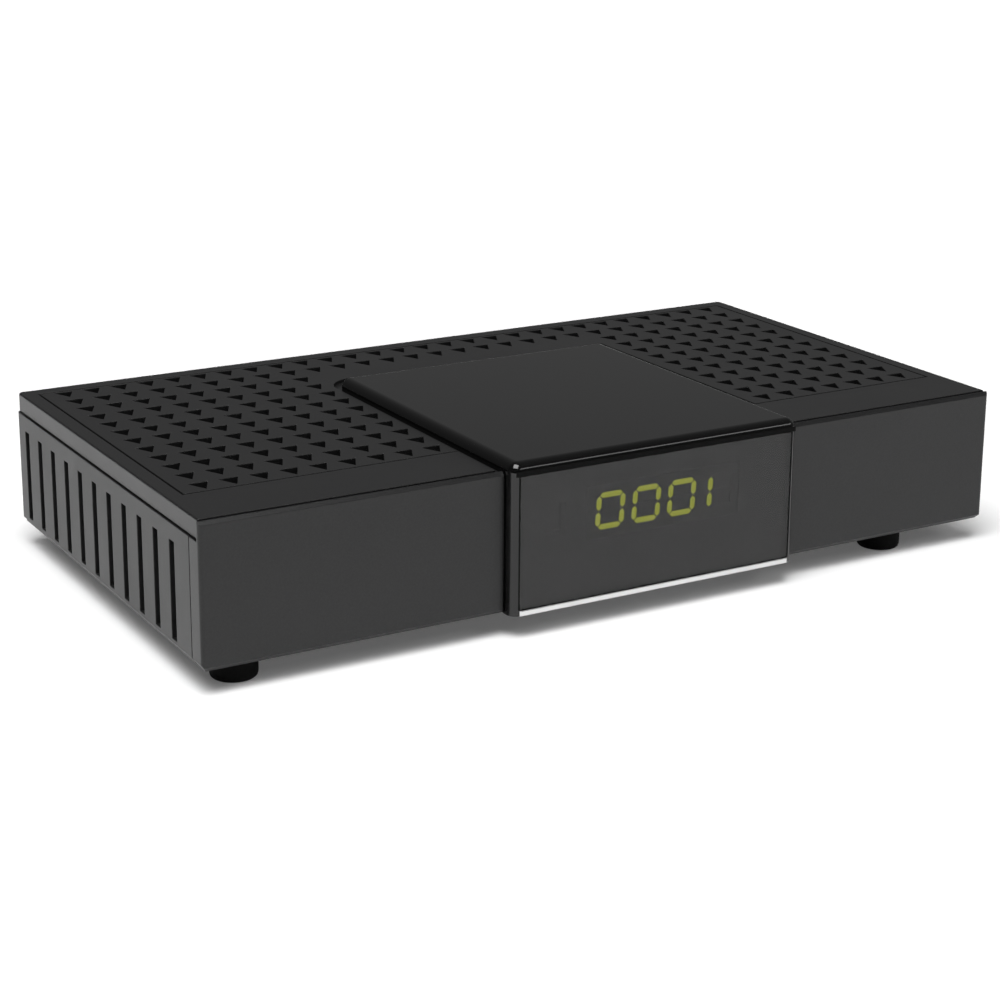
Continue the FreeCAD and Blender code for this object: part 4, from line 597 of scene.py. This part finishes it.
def polished_plastic(name, colour, roughness, level=0.5):
    """Black plastic from a polished mould, with only a trace of unevenness in its gloss."""
    material = bpy.data.materials.new(name)
    material.use_nodes = True
    tree = material.node_tree
    link = tree.links.new
    shader = tree.nodes["Principled BSDF"]
    shader.inputs["Base Color"].default_value = (*colour, 1)
    shader.inputs["Specular IOR Level"].default_value = level
    place = tree.nodes.new("ShaderNodeTexCoord")
    haze = tree.nodes.new("ShaderNodeTexNoise")
    haze.inputs["Scale"].default_value = 60.0
    haze.inputs["Detail"].default_value = 4.0
    gloss = tree.nodes.new("ShaderNodeMapRange")
    gloss.inputs["To Min"].default_value = roughness * 0.7
    gloss.inputs["To Max"].default_value = roughness * 1.4
    ripple = tree.nodes.new("ShaderNodeTexNoise")
    ripple.inputs["Scale"].default_value = 350.0
    orange_peel = tree.nodes.new("ShaderNodeBump")
    orange_peel.inputs["Strength"].default_value = 0.04
    orange_peel.inputs["Distance"].default_value = 0.00002
    soft_edge = tree.nodes.new("ShaderNodeBevel")
    soft_edge.samples = 4
    soft_edge.inputs["Radius"].default_value = 0.25 * mm
    link(place.outputs["Object"], haze.inputs["Vector"])
    link(place.outputs["Object"], ripple.inputs["Vector"])
    link(haze.outputs["Fac"], gloss.inputs["Value"])
    link(gloss.outputs["Result"], shader.inputs["Roughness"])
    link(ripple.outputs["Fac"], orange_peel.inputs["Height"])
    link(soft_edge.outputs["Normal"], orange_peel.inputs["Normal"])
    link(orange_peel.outputs["Normal"], shader.inputs["Normal"])
    return material


saddle_gloss = polished_plastic("saddle_gloss", (0.003, 0.003, 0.003), 0.07)
finish_nodes(saddle_gloss, "centre_panel")

# Display window: a smoked acrylic pane let flush into the saddle's face.
window_acrylic = polished_plastic("window_acrylic", (0.012, 0.012, 0.012), 0.04, 0.61)
pane_shader = window_acrylic.node_tree.nodes["Principled BSDF"]
pane_shader.inputs["Alpha"].default_value = 0.62
window_acrylic.node_tree.links.remove(pane_shader.inputs["Normal"].links[0])
finish_nodes(window_acrylic, "display_window")

# Window gap shade: a matt black strip round the pane, painted shade put where the gap between pane and saddle
# lies in shadow.
# It is wider along the top, where it follows the start of the saddle's rounded edge.
# Matt black for the painted shade in the gap round the pane.
gap_shade_black = moulded_plastic("gap_shade_black", (0.002, 0.002, 0.002), 0.8, 0.0005, 0.00001, level=0.12)
pane_low, pane_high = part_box("display_window")
saddle_low, saddle_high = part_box("centre_panel")
SHADE_STRIP_PROUD = 0.02 * mm
SHADE_STRIP_WIDE = 0.32 * mm
EDGE_ROUND = 2.6 * mm
SHADE_STRIP_TURN = math.radians(15)
build = bmesh.new()


def shade_strip_sheet(profile, along):
    """A sheet of the painted-shade strip swept between two of its ends."""
    start, end = along
    lines = [(build.verts.new(start(*point)), build.verts.new(end(*point))) for point in profile]
    for (a, b), (c, d) in zip(lines, lines[1:]):
        build.faces.new((a, b, d, c))


arc_y = saddle_low[1] + EDGE_ROUND
arc_z = saddle_high[2] - EDGE_ROUND
over = EDGE_ROUND + SHADE_STRIP_PROUD
top_profile = [(saddle_low[1] - SHADE_STRIP_PROUD, pane_high[2] - 0.05 * mm)] + [
    (arc_y - over * math.cos(SHADE_STRIP_TURN * i / 4), arc_z + over * math.sin(SHADE_STRIP_TURN * i / 4))
    for i in range(5)]
ends = saddle_low[0] + 0.9 * mm, saddle_high[0] - 0.9 * mm
shade_strip_sheet(top_profile, (lambda y, z: (ends[0], y, z), lambda y, z: (ends[1], y, z)))
for side, out in ((pane_low[0], -1), (pane_high[0], 1)):
    shade_strip_sheet([(side + out * 0.02 * mm, 0), (side + out * SHADE_STRIP_WIDE, 0)],
         (lambda x, _: (x, saddle_low[1] - SHADE_STRIP_PROUD, pane_low[2]),
          lambda x, _: (x, saddle_low[1] - SHADE_STRIP_PROUD, pane_high[2])))
bmesh.ops.recalc_face_normals(build, faces=build.faces)
gap_shade_mesh = bpy.data.meshes.new("window_gap_shade")
build.to_mesh(gap_shade_mesh)
build.free()
gap_shade_mesh.materials.append(gap_shade_black)
gap_shade = bpy.data.objects.new("window_gap_shade", gap_shade_mesh)
bpy.context.scene.collection.objects.link(gap_shade)
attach(gap_shade, "housing")

# Bright strip: plated trim bonded along the foot of the saddle.
bright_plate = bare_metal("bright_plate", (0.66, 0.66, 0.66), 0.12)
finish_nodes(bright_plate, "chrome_strip")

# Floor: a plain white table that brightens to the white backdrop away from the receiver.
floor_mesh = bpy.data.meshes.new("floor")
reach = 4.0
floor_mesh.from_pydata([(-reach, -reach, 0), (reach, -reach, 0), (reach, reach, 0), (-reach, reach, 0)], [],
                       [(0, 1, 2, 3)])
floor = bpy.data.objects.new("floor", floor_mesh)
bpy.context.scene.collection.objects.link(floor)
floor_white = bpy.data.materials.new("floor_white")
floor_white.use_nodes = True
tree = floor_white.node_tree
tree.nodes.clear()
out = tree.nodes.new("ShaderNodeOutputMaterial")
diffuse = tree.nodes.new("ShaderNodeBsdfDiffuse")
diffuse.inputs["Color"].default_value = (0.9, 0.9, 0.9, 1)
emission = tree.nodes.new("ShaderNodeEmission")
add = tree.nodes.new("ShaderNodeAddShader")
path = tree.nodes.new("ShaderNodeLightPath")
rays = tree.nodes.new("ShaderNodeMath")
rays.operation = "MAXIMUM"
both = tree.nodes.new("ShaderNodeMath")
both.operation = "MAXIMUM"
lift = tree.nodes.new("ShaderNodeMath")
lift.operation = "MULTIPLY"
place = tree.nodes.new("ShaderNodeTexCoord")
away = tree.nodes.new("ShaderNodeVectorMath")
away.operation = "LENGTH"
whiten = tree.nodes.new("ShaderNodeMapRange")
whiten.inputs["From Min"].default_value = 0.22
whiten.inputs["From Max"].default_value = 1.1
whiten.inputs["To Min"].default_value = 0.10
whiten.inputs["To Max"].default_value = 1.0
tree.links.new(place.outputs["Object"], away.inputs[0])
tree.links.new(away.outputs["Value"], whiten.inputs["Value"])
tree.links.new(whiten.outputs["Result"], lift.inputs[1])
tree.links.new(path.outputs["Is Camera Ray"], rays.inputs[0])
tree.links.new(path.outputs["Is Glossy Ray"], rays.inputs[1])
tree.links.new(rays.outputs[0], both.inputs[0])
tree.links.new(path.outputs["Is Transmission Ray"], both.inputs[1])
tree.links.new(both.outputs[0], lift.inputs[0])
tree.links.new(lift.outputs[0], emission.inputs["Strength"])
tree.links.new(diffuse.outputs[0], add.inputs[0])
tree.links.new(emission.outputs[0], add.inputs[1])
tree.links.new(add.outputs[0], out.inputs[0])
floor_mesh.materials.append(floor_white)

# Studio light: a dim room that is a little brighter behind on the right, a wide soft box high on
# the left, and a narrow strip in front on the right, which draws the line along the saddle's edge.
world = bpy.data.worlds.new("studio")
bpy.context.scene.world = world
world.use_nodes = True
sky = world.node_tree
backdrop = sky.nodes["Background"]
backdrop.inputs["Strength"].default_value = 1.0
look = sky.nodes.new("ShaderNodeTexCoord")
behind = sky.nodes.new("ShaderNodeVectorMath")
behind.operation = "DOT_PRODUCT"
behind.inputs[1].default_value = (0.75, 0.60, 0)
dim = sky.nodes.new("ShaderNodeMapRange")
dim.inputs["From Min"].default_value = -0.2
dim.inputs["From Max"].default_value = 0.95
dim.inputs["To Min"].default_value = 0.03
dim.inputs["To Max"].default_value = 0.17
sky.links.new(look.outputs["Generated"], behind.inputs[0])
sky.links.new(behind.outputs["Value"], dim.inputs["Value"])
sky.links.new(dim.outputs["Result"], backdrop.inputs["Color"])


def soft_box(name, place, aim, width, height, watts):
    lamp = bpy.data.lights.new(name, "AREA")
    lamp.shape = "RECTANGLE"
    lamp.size = width
    lamp.size_y = height
    lamp.energy = watts
    box = bpy.data.objects.new(name, lamp)
    box.location = place
    box.rotation_euler = (Vector(aim) - Vector(place)).to_track_quat("-Z", "Y").to_euler()
    bpy.context.scene.collection.objects.link(box)
    return box


soft_box("overhead_box", (-0.33, -0.30, 1.25), (0, 0, 0), 1.0, 1.0, 24)
soft_box("front_strip", (0.59, -0.77, 0.70), (0, 0, 0.03), 0.9, 0.12, 1.2)

# Camera: at the photograph's angle, above the lid and left of the front, looking down at it. The lens
# is shifted a little, only so that the receiver stands in the frame where it does in the photograph.
azimuth, tilt, roll = math.radians(30.239), math.radians(15.346), math.radians(0.385)
ahead = Vector((math.sin(azimuth) * math.cos(tilt), math.cos(azimuth) * math.cos(tilt), -math.sin(tilt)))
across = Vector((math.cos(azimuth), -math.sin(azimuth), 0))
above = across.cross(ahead)
level_across = math.cos(roll) * across + math.sin(roll) * above
level_above = -math.sin(roll) * across + math.cos(roll) * above
camera_data = bpy.data.cameras.new("camera")
camera_data.lens = 80.888
camera_data.shift_y = -0.1
camera_data.clip_start = 0.01
camera = bpy.data.objects.new("camera", camera_data)
turn = Matrix((level_across, level_above, -ahead)).transposed()
camera.matrix_world = Matrix.Translation(Vector((-0.282010, -0.483700, 0.190990))) @ turn.to_4x4()
bpy.context.scene.collection.objects.link(camera)
bpy.context.scene.camera = camera
bpy.context.scene.view_settings.view_transform = "Standard"
